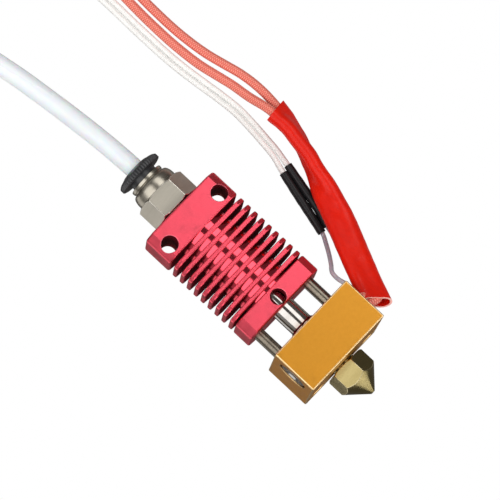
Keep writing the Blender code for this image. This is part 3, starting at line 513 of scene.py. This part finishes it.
def coil_route(cells, start_angle, sense, change=(0.78, 1.0), last=1.0):
    """Turns of a coil: cells are each turn's radius and height, eased into the next turn's within change.

    The shares in change and last are shares of a turn; last is how much of the last turn is made.
    """
    route = []
    for index, (radius, height) in enumerate(cells):
        final = index == len(cells) - 1
        following = cells[index] if final else cells[index + 1]
        for step in range(round(TURN_POINTS * (last if final else 1.0))):
            share = step / TURN_POINTS
            ease = min(max((share - change[0]) / (change[1] - change[0]), 0.0), 1.0)
            ease = ease * ease * (3 - 2 * ease)
            reach = radius + (following[0] - radius) * ease
            level = height + (following[1] - height) * ease
            angle = start_angle + sense * 2 * math.pi * (index + share)
            route.append(COIL_CENTRE + Vector((reach * math.cos(angle), reach * math.sin(angle), level)))
    return route


# ---------------------------------------------------------------- camera

CAMERA_AZIMUTH, CAMERA_TILT, CAMERA_ROLL = (math.radians(a) for a in (9.8, 4.54, -46.91))
CAMERA_AIM, CAMERA_DISTANCE, CAMERA_LENS = Vector((3.896, -11.521, 6.0)) * MM, 0.7, 258.6


def add_camera():
    back = Vector((-math.sin(CAMERA_AZIMUTH) * math.cos(CAMERA_TILT), -math.sin(CAMERA_TILT),
                   math.cos(CAMERA_AZIMUTH) * math.cos(CAMERA_TILT)))
    level = Vector((0, 1, 0)).cross(back).normalized()
    upright = back.cross(level)
    right = level * math.cos(CAMERA_ROLL) + upright * math.sin(CAMERA_ROLL)
    up = upright * math.cos(CAMERA_ROLL) - level * math.sin(CAMERA_ROLL)
    camera = bpy.data.cameras.new("camera")
    camera.lens = CAMERA_LENS
    camera.sensor_width = 36.0
    camera.clip_start = 0.01
    obj = link_object("camera", camera)
    turn = Matrix((right, up, back)).transposed().to_4x4()
    obj.matrix_world = Matrix.Translation(CAMERA_AIM + back * CAMERA_DISTANCE) @ turn
    bpy.context.scene.camera = obj


# ---------------------------------------------------------------- cords

def tie(name, angle, inner, outer, top, width=1.5 * MM):
    """A flat strap round a coil's section at one angle, with a small buckle on top."""
    thick = 0.28 * MM
    low = 0.04 * MM
    corner = 0.5 * MM
    outline = []
    for (r, z), first in (((outer - corner, low + corner), 270), ((outer - corner, top - corner), 0),
                          ((inner + corner, top - corner), 90), ((inner + corner, low + corner), 180)):
        for step in range(5):
            a = math.radians(first + 22.5 * step)
            outline.append((r, z, math.cos(a), math.sin(a)))
    radial = Vector((math.cos(angle), math.sin(angle), 0))
    side = Vector((-math.sin(angle), math.cos(angle), 0))
    bm = bmesh.new()
    rings = []
    for r, z, c, s in outline:
        ring = []
        for depth, half in ((corner, -width / 2), (corner, width / 2), (corner - thick, width / 2),
                            (corner - thick, -width / 2)):
            place = radial * (r + c * depth) + Vector((0, 0, z + s * depth)) + side * half
            ring.append(bm.verts.new(COIL_CENTRE + place))
        rings.append(ring)
    for low_ring, high_ring in zip(rings, rings[1:] + rings[:1]):
        join_rings(bm, low_ring, high_ring)
    buckle_length, buckle_width = 1.9, 2.3
    middle = COIL_CENTRE + radial * ((inner + outer) / 2) + Vector((0, 0, top + 0.15 * MM))
    for vert in bmesh.ops.create_cube(bm, size=1.0)["verts"]:
        outward = radial * vert.co.x * buckle_length * MM
        sideways = side * vert.co.y * buckle_width * MM
        vert.co = middle + outward + sideways + Vector((0, 0, vert.co.z * MM))
    obj = add_piece(name, bm, [tie_plastic], "black_plastic")
    ease_edges(obj, 0.08 * MM)
    return obj


def filament_tube():
    low, high = -35.0 * MM, 13.0 * MM
    inner = [(low, TUBE_BORE), (low, TUBE_RADIUS), (high, TUBE_RADIUS), (high, TUBE_BORE)]
    turned("filament_tube_inside", inner, [clear_tube], "filament_tube", replaces=["filament_tube_inner"],
           segments=48)
    turns = coil_route([(20.5 * MM, 2.4 * MM), (20.5 * MM, 6.5 * MM)], math.radians(165), -1, (0.55, 0.82))
    route = smooth_route(millimetres(TUBE_ROUTE) + turns, 1.0 * MM)
    tube = sweep("filament_tube", route, TUBE_RADIUS, [clear_tube], "filament_tube",
                 ["filament_tube_run", "filament_tube_coil"], sides=32, bore=TUBE_BORE)
    ties = [tie(f"tube_tie_{k}", math.radians(a), 18.1 * MM, 22.9 * MM, 8.85 * MM)
            for k, a in enumerate((75, 330), start=1)]


def sleeve_twist(share):
    """Twist of the sleeve's section at a share of its length, in radians."""
    for (s0, a0), (s1, a1) in zip(SLEEVE_TWISTS, SLEEVE_TWISTS[1:]):
        if share <= s1:
            t = (share - s0) / (s1 - s0)
            return math.radians(a0 + (a1 - a0) * t * t * (3 - 2 * t))
    return math.radians(SLEEVE_TWISTS[-1][1])


def sleeve_frames(spacing):
    """Centre, wide direction and thin direction of the sleeve's section, along its length."""
    route = smooth_route(millimetres(SLEEVE_ROUTE), spacing)
    frames = []
    for i, (centre, ahead) in enumerate(zip(route, headings(route))):
        across = ahead.cross(Vector((0, 0, 1))).normalized()
        upward = across.cross(ahead)
        share = i / (len(route) - 1)
        turn = sleeve_twist(share)
        wide = across * math.cos(turn) + upward * math.sin(turn)
        thin = upward * math.cos(turn) - across * math.sin(turn)
        pull = MOUTH_PULL * max(0.0, 1 - share / 0.4) ** 1.5
        frames.append((centre - Vector((pull, 0, 0)), wide, thin))
    return frames


def heater_sleeve():
    """The flattened silicone sleeve: two soft lobes over the leads, faint wrinkles, and cut rims."""
    sides, waist, crease = 56, 0.13 * MM, 0.05 * MM
    flat = SLEEVE_HALF_WIDTH - SLEEVE_HALF_THICKNESS
    bm = bmesh.new()
    frames = sleeve_frames(0.45 * MM)
    skins = []
    for wall in (0.0, SLEEVE_WALL):
        rings = []
        for i, (centre, wide, thin) in enumerate(frames):
            share = i / (len(frames) - 1)
            flare = 1.0 + 0.05 * max(0.0, 1 - share / 0.05) + 0.04 * max(0.0, (share - 0.96) / 0.04)
            ring = []
            for k in range(sides):
                angle = 2 * math.pi * (k + 0.5) / sides
                round_end = (SLEEVE_HALF_THICKNESS - wall) * flare
                along = flat * math.tanh(3.0 * math.cos(angle)) + round_end * math.cos(angle)
                up = round_end * math.sin(angle)
                up -= math.copysign(waist * math.exp(-(along / (0.9 * MM)) ** 2), up)
                lean = along / SLEEVE_HALF_WIDTH
                slant = MOUTH_SLANT * (0.75 + 0.25 * lean) * max(0.0, 1 - share / 0.1)
                slant += FAR_END_SLANT * (0.1 + 0.5 * lean) * max(0.0, (share - 0.92) / 0.08)
                place = centre + wide * along + thin * up - thin.cross(wide) * slant
                wrinkle = noise.noise(Vector((along * 500, share * 26, math.copysign(3.0, up)))) * crease
                ring.append(bm.verts.new(place + (place - centre).normalized() * wrinkle))
            rings.append(ring)
        skins.append(rings)
    for rings in skins:
        for low, high in zip(rings, rings[1:]):
            join_rings(bm, low, high)
    for end in (0, -1):
        for rim in join_rings(bm, skins[0][end], skins[1][end]):
            rim.material_index = 1
    return add_piece("sleeve", bm, [silicone, silicone_cut], "red_silicone", replaces=["heater_sleeve"],
                     smooth_angle=60)


def ferrule(name, node, angle, reach):
    """A crimped end sleeve with a bell mouth, pressed ribs and a pin, on the coil's top."""
    radial = Vector((math.cos(angle), math.sin(angle), 0))
    ahead = Vector((-math.sin(angle), math.cos(angle), 0))
    start = COIL_CENTRE + Vector((0, 0, 13.9 * MM)) + radial * reach
    profile = profile_from(0.0, (0, 0), (0, 1.05), (0.1, 1.33), (0.5, 1.35), (0.9, 1.25))
    for rib in range(4):
        profile += profile_from((1.4 + rib) * MM, (0, 1.24), (0.25, 1.1), (0.5, 1.1), (0.75, 1.22))
    profile += profile_from(0.0, (5.5, 1.15), (6.0, 0.7))
    for rib in range(5):
        profile += profile_from((6.6 + rib) * MM, (0, 0.7), (0.2, 0.62), (0.5, 0.62), (0.7, 0.7))
    profile += profile_from(0.0, (11.9, 0.68), (12.0, 0.6), (12.0, 0))
    bm = bmesh.new()
    turned_mesh(bm, profile, segments=36, centre=(0, 0, 0), axis="Z")
    turn = ahead.to_track_quat("Z", "Y").to_matrix().to_4x4()
    bmesh.ops.transform(bm, matrix=Matrix.Translation(start) @ turn, verts=bm.verts)
    return add_piece(name, bm, [tin], "tinned_copper", replaces=[node], smooth_angle=40), start, ahead


def coil_cells(outer, inner, down, layer):
    """Two columns of turns: down the outer radius from layer `down`, then up the inner one; millimetres."""
    return [(outer * MM, z) for z in reversed(layer[:down])] + [(inner * MM, z) for z in layer]


def heater_lead(letter, start, side, run, outer, inner, down, enter, end_angle, end_reach, nodes):
    """A braided lead, through the sleeve and into its coil; radii in millimetres, angles in degrees."""
    end, end_start, end_ahead = ferrule(f"end_sleeve_{letter}", f"ferrule_{letter}", math.radians(end_angle),
                                        end_reach * MM)
    inside = [centre + wide * side * LEAD_OFFSET for centre, wide, thin in sleeve_frames(4.0 * MM)]
    layer = [TIE_LIFT + LEAD_RADIUS + LEAD_LAYER * k for k in range(6)]
    turns = coil_route(coil_cells(outer, inner, down, layer), math.radians(enter), 1,
                       last=(end_angle - enter - 75) % 360 / 360)
    finish = [end_start - end_ahead * 6.0 * MM - Vector((0, 0, 0.5 * MM)), end_start - end_ahead * 2.0 * MM,
              end_start + end_ahead * 2.0 * MM]
    route = smooth_route(millimetres(start) + inside + millimetres(run) + turns + finish, 0.8 * MM)
    lead = sweep(f"heater_lead_{letter}_braid", route, LEAD_RADIUS, [red_braid], "red_lead", nodes, sides=14)


def heater_leads():
    sleeve = heater_sleeve()
    ties = [tie(f"lead_tie_{k}", math.radians(a), 8.2 * MM, 16.75 * MM, 12.4 * MM)
            for k, a in enumerate((105, 250), start=1)]
    heater_lead("a", LEAD_A_START, -1, LEAD_A_RUN, outer=15.4, inner=11.44, down=5, enter=8, end_angle=24,
                end_reach=13.4, nodes=["heater_lead_a", "heater_lead_coil"])
    heater_lead("b", LEAD_B_START, 1, LEAD_B_RUN, outer=13.42, inner=9.46, down=6, enter=0, end_angle=38,
                end_reach=10.2, nodes=["heater_lead_b"])


def shrink_swell(share):
    """The tube bulges a little over the joint inside it, and grips at its start."""
    bulge = 0.06 * math.sin(math.pi * share) ** 2
    grip = 0.05 * math.exp(-(share / 0.03) ** 2)
    return 1.0 + bulge - grip + 0.02 * math.sin(share * 37)


def sensor_wire(letter, run, tail, thin_route, shrink_route, outer, inner, down, enter, coil_nodes):
    """A thin lead, its heat-shrink joint and its white wire; radii in millimetres, enter in degrees."""
    thin = sweep(f"thin_lead_{letter}", smooth_route(millimetres(thin_route), 0.4 * MM), SENSOR_LEAD_RADIUS,
                 [grey_sleeve], "grey_sleeve", [f"sensor_lead_{letter}"], sides=16)
    cover = sweep(f"shrink_tube_{letter}", smooth_route(millimetres(shrink_route), 0.25 * MM), SHRINK_RADIUS,
                  [shrink], "black_shrink", [f"heat_shrink_{letter}"], sides=24, swell=shrink_swell)
    layer = [TIE_LIFT + WIRE_RADIUS + WIRE_LAYER * k for k in range(12)]
    turns = coil_route(coil_cells(outer, inner, down, layer), math.radians(enter), 1,
                       last=(45 - enter) % 360 / 360)
    route = smooth_route(millimetres(run) + turns + millimetres(tail), 0.6 * MM)
    wire = sweep(f"wire_{letter}", route, WIRE_RADIUS, [white_wire], "white_lead",
                 [f"sensor_wire_{letter}", f"sensor_tail_{letter}"] + coil_nodes)


def sensor_wires():
    housing = connector()
    coil_tie = tie("wire_tie", math.radians(200), 2.75 * MM, 8.4 * MM, 15.6 * MM, 1.2 * MM)
    sensor_wire("a", WIRE_A_RUN, WIRE_A_TAIL, SENSOR_A_ROUTE, SHRINK_A_ROUTE, outer=7.45, inner=4.95, down=11,
                enter=5, coil_nodes=["sensor_wire_coil"])
    sensor_wire("b", WIRE_B_RUN, WIRE_B_TAIL, SENSOR_B_ROUTE, SHRINK_B_ROUTE, outer=6.2, inner=3.7, down=12,
                enter=35, coil_nodes=[])


def connector():
    """Two-way plug housing with its ribs and contact windows."""
    angle, reach = math.radians(150), 13.0 * MM
    across = Vector((math.cos(angle), math.sin(angle), 0))
    ahead = Vector((-across.y, across.x, 0))
    upward = Vector((0, 0, 1))
    centre = COIL_CENTRE + Vector((0, 0, 15.5 * MM)) + across * reach

    def box(name, low, high, mats=(), slot=None, replaces=()):
        bm = bmesh.new()
        bmesh.ops.create_cube(bm, size=1.0)
        for vert in bm.verts:
            a, b, c = (low[i] + (high[i] - low[i]) * (vert.co[i] + 0.5) for i in range(3))
            vert.co = centre + (ahead * a + across * b + upward * c) * MM
        return add_piece(name, bm, mats, slot, replaces=replaces)

    housing = box("plug_housing", (-4.0, -3.7, -2.4), (4.0, 3.7, 2.4), [nylon], "white_plastic",
                  ["connector_housing"])
    joins = [box(f"rib_{k}", (-3.9, y - 0.35, 1.5), (3.0, y + 0.35, 2.9))
             for k, y in enumerate((-2.6, 2.6))]
    joins.append(box("front_rim", (2.6, -3.7, -2.9), (3.9, 3.7, 2.2)))
    carve(housing, *joins, operation="UNION")
    contacts, sides = (-1.25, 1.25), (-3.7, 3.7)
    cuts = [box(f"channel_{k}", (-9, y - 0.95, -0.95), (9, y + 0.95, 0.95)) for k, y in enumerate(contacts)]
    cuts += [box(f"window_{k}", (-1.6, y - 0.6, 0), (0.6, y + 0.6, 4)) for k, y in enumerate(contacts)]
    cuts += [box(f"side_step_{k}", (-4.5, y - 0.35, -4), (-1.5, y + 0.35, -1.2)) for k, y in enumerate(sides)]
    carve(housing, *cuts)
    ease_edges(housing, 0.15 * MM, angle=40)
    return housing


# ---------------------------------------------------------------- hard parts

SINK_HALF, SINK_DEPTH, SINK_TOP, SINK_BOTTOM = 9.55 * MM, 12.0 * MM, 4.0 * MM, -24.1 * MM
TOP_BLOCK_HEIGHT, FIN_THICKNESS, FIN_GAP, FIN_COUNT = 6.6 * MM, 0.95 * MM, 0.915 * MM, 9
BLOCK_TOP, BLOCK_BOTTOM, BLOCK_HALF, BLOCK_DEPTH = -29.9 * MM, -39.9 * MM, 10.0 * MM, 20.0 * MM
THREAD_HOLE = 3.25 * MM                     # holes that an M6 shank or the cartridge fills
SHANK_HOLE = 1.55 * MM                      # holes that a block screw's shank runs in
CARTRIDGE_PLACE = Vector((0.0, -34.9 * MM, 14.9 * MM))
SIDES = (-1, 1)                             # left and right of the filament path


def beside(side):
    """The place of a mounting hole's or a block screw's axis, on one side of the filament path."""
    return Vector((side * 7 * MM, 0, 0))


def sink_outline():
    """The heatsink's section: straight chamfers, crisp at the front and back, rounded at the sides."""
    cut, round_radius, steps = 1.75 * MM, 1.5 * MM, 5
    reach = round_radius * math.tan(math.radians(22.5))
    quarter = [(SINK_HALF - cut, SINK_DEPTH)]
    centre = Vector((SINK_HALF - round_radius, SINK_DEPTH - cut - reach))
    for step in range(steps + 1):
        a = math.radians(45 - 45 * step / steps)
        quarter.append((centre.x + round_radius * math.cos(a), centre.y + round_radius * math.sin(a)))
    right = quarter + [(x, SINK_DEPTH - z) for x, z in reversed(quarter)]
    return right + [(-x, z) for x, z in reversed(right)]


def heatsink():
    outline = sink_outline()
    # slot 1 is a lighter copy of the red, painted highlight on the holes' rims; slot 2 a darker copy, painted
    # shade on the hole walls and the faces between the fins
    slot, mats = "red_anodised", [red, red_painted_highlight, red_painted_shade]
    core_bore = 2.3 * MM

    top = prism("heatsink_top", outline, SINK_TOP - TOP_BLOCK_HEIGHT, SINK_TOP, mats, slot, ["heatsink"],
                start_slot=PAINTED_SHADE_SLOT)
    cuts = [rod_tool(f"mount_hole_{side}", -MM, 13 * MM, 1.7 * MM, "Z", beside(side)) for side in SIDES]
    cuts.append(rod_tool("top_bore", -10 * MM, 5 * MM, THREAD_HOLE))
    cut_block(top, 0.5 * MM, 4, 0, cuts, 0.09 * MM)

    foot_height = 4.25 * MM
    foot = prism("heatsink_foot", outline, SINK_BOTTOM, SINK_BOTTOM + foot_height, mats, slot,
                 end_slot=PAINTED_SHADE_SLOT)
    cuts = [rod_tool(f"rod_hole_{side}", SINK_BOTTOM - MM, SINK_BOTTOM + 3.2 * MM, SHANK_HOLE,
                     centre=AXIS + beside(side)) for side in SIDES]
    cuts.append(rod_tool("set_screw_hole", 6 * MM, 13 * MM, 1.6 * MM, "Z", (0, -22.2 * MM, 0)))
    cuts.append(rod_tool("foot_bore", -30 * MM, -10 * MM, THREAD_HOLE))
    cut_block(foot, 0.4 * MM, 4, 0, cuts, 0.09 * MM)

    bm = bmesh.new()
    for fin in range(FIN_COUNT):
        y = SINK_TOP - TOP_BLOCK_HEIGHT - FIN_GAP - fin * (FIN_THICKNESS + FIN_GAP)
        # the fins' flat faces, the top block's underside and the foot's top take the painted shade
        prism_mesh(bm, outline, y - FIN_THICKNESS, y, PAINTED_SHADE_SLOT, PAINTED_SHADE_SLOT)
    fins = add_piece("heatsink_fins", bm, mats, slot)
    ease_edges(fins, 0.24 * MM, 4, edge_material=0)
    keep_flats_flat(fins)

    core_top, core_foot = SINK_TOP - 6.0 * MM, SINK_BOTTOM + 3.8 * MM
    profile = [(core_top, core_bore), (core_top, 5.85 * MM), (core_foot, 5.85 * MM), (core_foot, core_bore)]
    turned("heatsink_core", profile, [red_turned], slot, segments=128)


def fitting():
    base, top = 4.3 * MM, 9.3 * MM
    body = prism("fitting_hexagon", hexagon(10.0 * MM, math.radians(23.2)), base, top,
                 [nickel_flat, nickel_painted_highlight], "nickel", ["fitting_body"])
    reach, cone = 5.9 * MM, 0.55
    envelope = [(base, 0), (base, 5.25 * MM), (base + (reach - 5.25 * MM) * cone, reach),
                (top - (reach - 5.1 * MM) * cone, reach), (top, 5.1 * MM), (top, 0)]
    carve(body, turned("hexagon_envelope", envelope, segments=128), operation="INTERSECT")
    carve(body, rod_tool("hexagon_bore", 0, 20 * MM, 2.9 * MM, wall_slot=0))
    # the rounded corners take slot 1, the painted highlight
    ease_edges(body, 0.09 * MM, 2, angle=35, edge_material=1)
    keep_flats_flat(body)

    bell = profile_from(top, (-1.0, 3.3), (-1.0, 4.7), (0.15, 4.7))
    for k in range(13):
        a = math.radians(7.5 * k)
        bell += profile_from(top, (0.45 + 1.95 * math.sin(a), 3.98 + 0.77 * math.cos(a)))
    bell += profile_from(top, (2.47, 3.72), (2.62, 3.66), (2.75, 3.72), (2.82, 3.8), (3.3, 3.84), (3.42, 3.8),
                         (3.5, 3.68), (3.5, 3.4), (3.4, 3.3))
    turned("fitting_bell", bell, [nickel], "nickel", segments=128)
    shank = profile_from(-2.4 * MM, (0, 2.3), (0, 2.7))
    for turn_index in range(8):
        shank += profile_from((-2.1 + turn_index * 0.8) * MM, (0, 2.6), (0.4, 2.95))
    shank += profile_from(5.0 * MM, (0, 2.95), (0, 2.3))
    turned("fitting_shank", shank, [nickel], "nickel", segments=64)


def collet():
    base, top = 13.8 * MM, 15.7 * MM
    profile = profile_from(10.2 * MM, (0, 2.3), (0, 3.0))
    profile += profile_from(base, (0, 3.0), (0, 4.5), (0.12, 4.85, True), (0.25, 5.0, True), (1.0, 5.0, True),
                            (1.15, 4.88, True), (1.35, 4.6), (1.5, 4.3))
    profile += profile_from(top, (-0.1, 3.3), (0, 3.05), (0, 2.5), (-0.15, 2.3))
    turned("collet_button", profile, [black_plastic], "black_plastic", "collet", ["release_collet"],
           segments=384, ridges=48, ridge_depth=0.22 * MM)


def throat():
    top, bottom = -8.6 * MM, -35.0 * MM
    profile = profile_from(top, (0, 2.3), (0, 2.75), (-0.2, 2.95))
    profile += profile_from(SINK_BOTTOM, (0.8, 2.95), (0.5, 2.6), (0.3, 2.55))
    profile += profile_from(BLOCK_TOP, (1.15, 2.55), (1.0, 2.62), (0.7, 2.95))
    profile += profile_from(bottom, (0, 2.95), (0, 2.3))
    turned("throat_tube", profile, [throat_steel], "polished_steel", replaces=["heat_break"], segments=128)


def heater_block():
    outline = [(-BLOCK_HALF, 0), (BLOCK_HALF, 0), (BLOCK_HALF, BLOCK_DEPTH), (-BLOCK_HALF, BLOCK_DEPTH)]
    # slot 1 is a lighter copy of the gold, painted highlight on the rounded edges; slot 2 a darker copy,
    # painted shade on the hole walls
    block = prism("block", outline, BLOCK_BOTTOM, BLOCK_TOP, [gold, gold_painted_highlight, gold_painted_shade], "gold_anodised",
                  ["heater_block"])
    low, high = BLOCK_BOTTOM - MM, BLOCK_TOP + MM
    cuts = [rod_tool("nozzle_thread", low, high, THREAD_HOLE),
            rod_tool("cartridge_hole", -11 * MM, 11 * MM, THREAD_HOLE, "X", CARTRIDGE_PLACE),
            rod_tool("sensor_hole", 4.6 * MM, 11 * MM, 1.15 * MM, "X", (0, -34 * MM, 10 * MM)),
            rod_tool("cartridge_clamp", -34.9 * MM, high, 1.75 * MM, centre=(0, 0, 14.9 * MM)),
            rod_tool("sensor_clamp", -34 * MM, high, 1.25 * MM, centre=(7 * MM, 0, 10 * MM))]
    seat, head_hole = BLOCK_BOTTOM + 3.1 * MM, 2.55 * MM
    stepped = [(low, 0), (low, head_hole), (seat, head_hole), (seat, SHANK_HOLE), (high, SHANK_HOLE),
               (high, 0)]
    cuts += [turned(f"screw_hole_{side}", stepped, centre=AXIS + beside(side), segments=64)
             for side in SIDES]
    # the rounded edges take slot 1, the painted highlight
    cut_block(block, 0.3 * MM, 3, 1, cuts, 0.12 * MM)


def block_screws():
    head, neck, tip = BLOCK_BOTTOM + 0.3 * MM, BLOCK_BOTTOM + 2.8 * MM, SINK_BOTTOM + 2.9 * MM
    profile = profile_from(head, (0, 0), (0, 1.85), (0.15, 2.1), (0.4, 2.25, True))
    profile += profile_from(neck, (-0.2, 2.25, True), (0, 2.1), (0, 1.25))
    profile += profile_from(SINK_BOTTOM, (0.4, 1.25))
    for turn_index in range(5):
        profile += profile_from(SINK_BOTTOM + (0.4 + turn_index * 0.45) * MM, (0.1, 1.02), (0.32, 1.25))
    profile += profile_from(tip, (0, 0.95), (0, 0))
    for name, side in zip(("left", "right"), SIDES):
        screw = turned(f"screw_{name}", profile, [dark_steel], "dark_steel", replaces=[f"block_screw_{name}"],
                       centre=AXIS + beside(side), segments=120, ridges=30, ridge_depth=0.12 * MM)
        socket = hexagon(2.0 * MM, 0, (side * 7 * MM, 6 * MM))
        carve(screw, prism(f"socket_{name}", socket, head - MM, head + 1.3 * MM, [], None, smooth_angle=None))


def nozzle():
    shoulder, tip = -40.3 * MM, -48.0 * MM
    body = prism("nozzle_body", hexagon(8.0 * MM, math.radians(12.2)), tip - MM, shoulder,
                 [brass, brass_painted_highlight], "brass", ["nozzle"])
    cone_start = tip + 4.5 * MM
    envelope = [(tip, 0), (tip, 0.42 * MM), (tip + 0.1 * MM, 0.55 * MM), (cone_start, 5.0 * MM),
                (shoulder - 0.55 * MM, 5.0 * MM), (shoulder, 4.15 * MM), (shoulder, 0)]
    carve(body, turned("nozzle_envelope", envelope, segments=160), operation="INTERSECT")
    bore = [(shoulder + MM, 0), (shoulder + MM, MM), (tip + 2.2 * MM, MM), (tip + 0.8 * MM, 0.2 * MM),
            (tip - 2 * MM, 0.2 * MM), (tip - 2 * MM, 0)]
    carve(body, turned("nozzle_bore", bore, segments=48))
    # the rounded edges take slot 1, the painted highlight
    ease_edges(body, 0.07 * MM, 2, angle=25, edge_material=1)
    keep_flats_flat(body)
    profile = profile_from(shoulder, (-0.3, 1), (-0.3, 2.6)) + profile_from(BLOCK_BOTTOM, (0.2, 2.6))
    for turn_index in range(4):
        profile += profile_from(BLOCK_BOTTOM + (0.3 + turn_index) * MM, (0.5, 2.95), (0.9, 2.55))
    profile += profile_from(-35.3 * MM, (0, 2.8), (0, 1))
    turned("nozzle_shank", profile, [brass], "brass", segments=64)


def cartridge():
    half = 9.9 * MM
    profile = profile_from(-half, (0.25, 0), (0.2, 1.2), (0, 1.5), (0, 2.55), (0.15, 2.85), (0.4, 2.95))
    profile += profile_from(half, (-0.1, 2.95), (0, 2.85), (0, 2.5), (-1.6, 2.45), (-1.6, 0))
    turned("cartridge_shell", profile, [polished], "polished_steel", replaces=["heater_cartridge"],
           centre=CARTRIDGE_PLACE, axis="X", segments=96)
    profile = profile_from(half, (-1.3, 0), (-1.3, 2.2), (-0.2, 2.2), (0.05, 1.9), (0.1, 0))
    seal = turned("cement_plug", profile, [ceramic], "ceramic", replaces=["cartridge_seal"],
                  centre=CARTRIDGE_PLACE, axis="X", segments=64)
    for vert in seal.data.vertices:
        vert.co.x += noise.noise(vert.co * 1200) * 0.08 * MM


def carried_nodes():
    """Pieces whose solids are kept, with finished materials and edges eased by a width in millimetres."""
    finishes = (("cartridge_set_screw", dark_steel, 0.08), ("sensor_set_screw", dark_steel, 0.06),
                ("thermistor_bead", glass, 0.0), ("tube_seal", rubber, 0.0), ("grab_ring", polished, 0.04),
                ("connector_contact_a", tin, 0.1), ("connector_contact_b", tin, 0.1))
    for node, mat, width in finishes:
        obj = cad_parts[node]
        for material_slot in obj.material_slots:
            material_slot.material = mat
        if width:
            ease_edges(obj, width * MM, 2, angle=45)


# ---------------------------------------------------------------- stage and light

def emitter(name, strength):
    mat = bpy.data.materials.new(name)
    mat.use_nodes = True
    tree = mat.node_tree
    tree.nodes.clear()
    glow = add_node(tree, "Emission", Strength=strength)
    output = add_node(tree, "OutputMaterial")
    link(tree, (glow, 0, output, "Surface"))
    return mat


def glowing_plane(name, half, height, strength, seen):
    """A plane of light that either the camera sees, or only diffuse surfaces receive."""
    bm = bmesh.new()
    bmesh.ops.create_grid(bm, x_segments=1, y_segments=1, size=half)
    for vert in bm.verts:
        vert.co.z = height
    mesh = bpy.data.meshes.new(name)
    bm.to_mesh(mesh)
    bm.free()
    mesh.materials.append(emitter(name, strength))
    plane = link_object(name, mesh)
    plane.visible_camera = seen
    plane.visible_transmission = seen
    plane.visible_diffuse = not seen
    plane.visible_glossy = False
    plane.visible_shadow = False


def add_stage():
    """A white light table that the camera sees, and a dimmer one that lights the object from below."""
    glowing_plane("floor", 3.0, 0.0, 1.0, True)
    glowing_plane("table_glow", 0.6, -0.5 * MM, 0.4, False)


def softbox(name, place, width, length, radiance):
    """A rectangular light facing the object, its width across the filament path where it can be.

    radiance is what a mirror shows of it.
    """
    light = bpy.data.lights.new(name, "AREA")
    light.shape = "RECTANGLE"
    light.size, light.size_y = width, length
    light.energy = math.pi * width * length * radiance
    obj = link_object(name, light)
    behind = (Vector(place) - Vector((0.0, -0.01, 0.006))).normalized()
    along = Vector((0, 0, 1)) if abs(behind.y) > 0.7 else Vector((0, 1, 0))
    across = along.cross(behind).normalized()
    turn = Matrix((across, behind.cross(across), behind)).transposed().to_4x4()
    obj.matrix_world = Matrix.Translation(place) @ turn
    obj.visible_camera = False


def add_lights():
    softbox("softbox_right", (0.29, 0.03, 0.53), 0.34, 1.0, 2.2)
    softbox("softbox_left", (-0.38, 0.0, 0.47), 0.62, 1.0, 2.0)
    softbox("reflector_front", (0.0, -0.60, 0.14), 0.8, 0.36, 2.4)
    softbox("reflector_left", (-0.62, 0.0, 0.12), 0.3, 0.8, 0.25)
    softbox("reflector_back", (0.0, 0.62, 0.16), 0.8, 0.3, 0.6)
    softbox("table_left", (-0.50, 0.0, -0.34), 0.4, 0.8, 0.9)
    softbox("table_right", (0.51, 0.0, -0.32), 0.24, 0.8, 0.28)
    world = bpy.data.worlds.new("world")
    world.use_nodes = True
    background = world.node_tree.nodes["Background"]
    background.inputs["Color"].default_value = (1.0, 0.96, 0.92, 1.0)
    background.inputs["Strength"].default_value = 0.13
    bpy.context.scene.world = world
    bpy.context.scene.view_settings.view_transform = "Standard"


add_camera()
filament_tube()
heater_leads()
sensor_wires()
heatsink()
fitting()
collet()
throat()
heater_block()
block_screws()
nozzle()
cartridge()
carried_nodes()
add_stage()
add_lights()
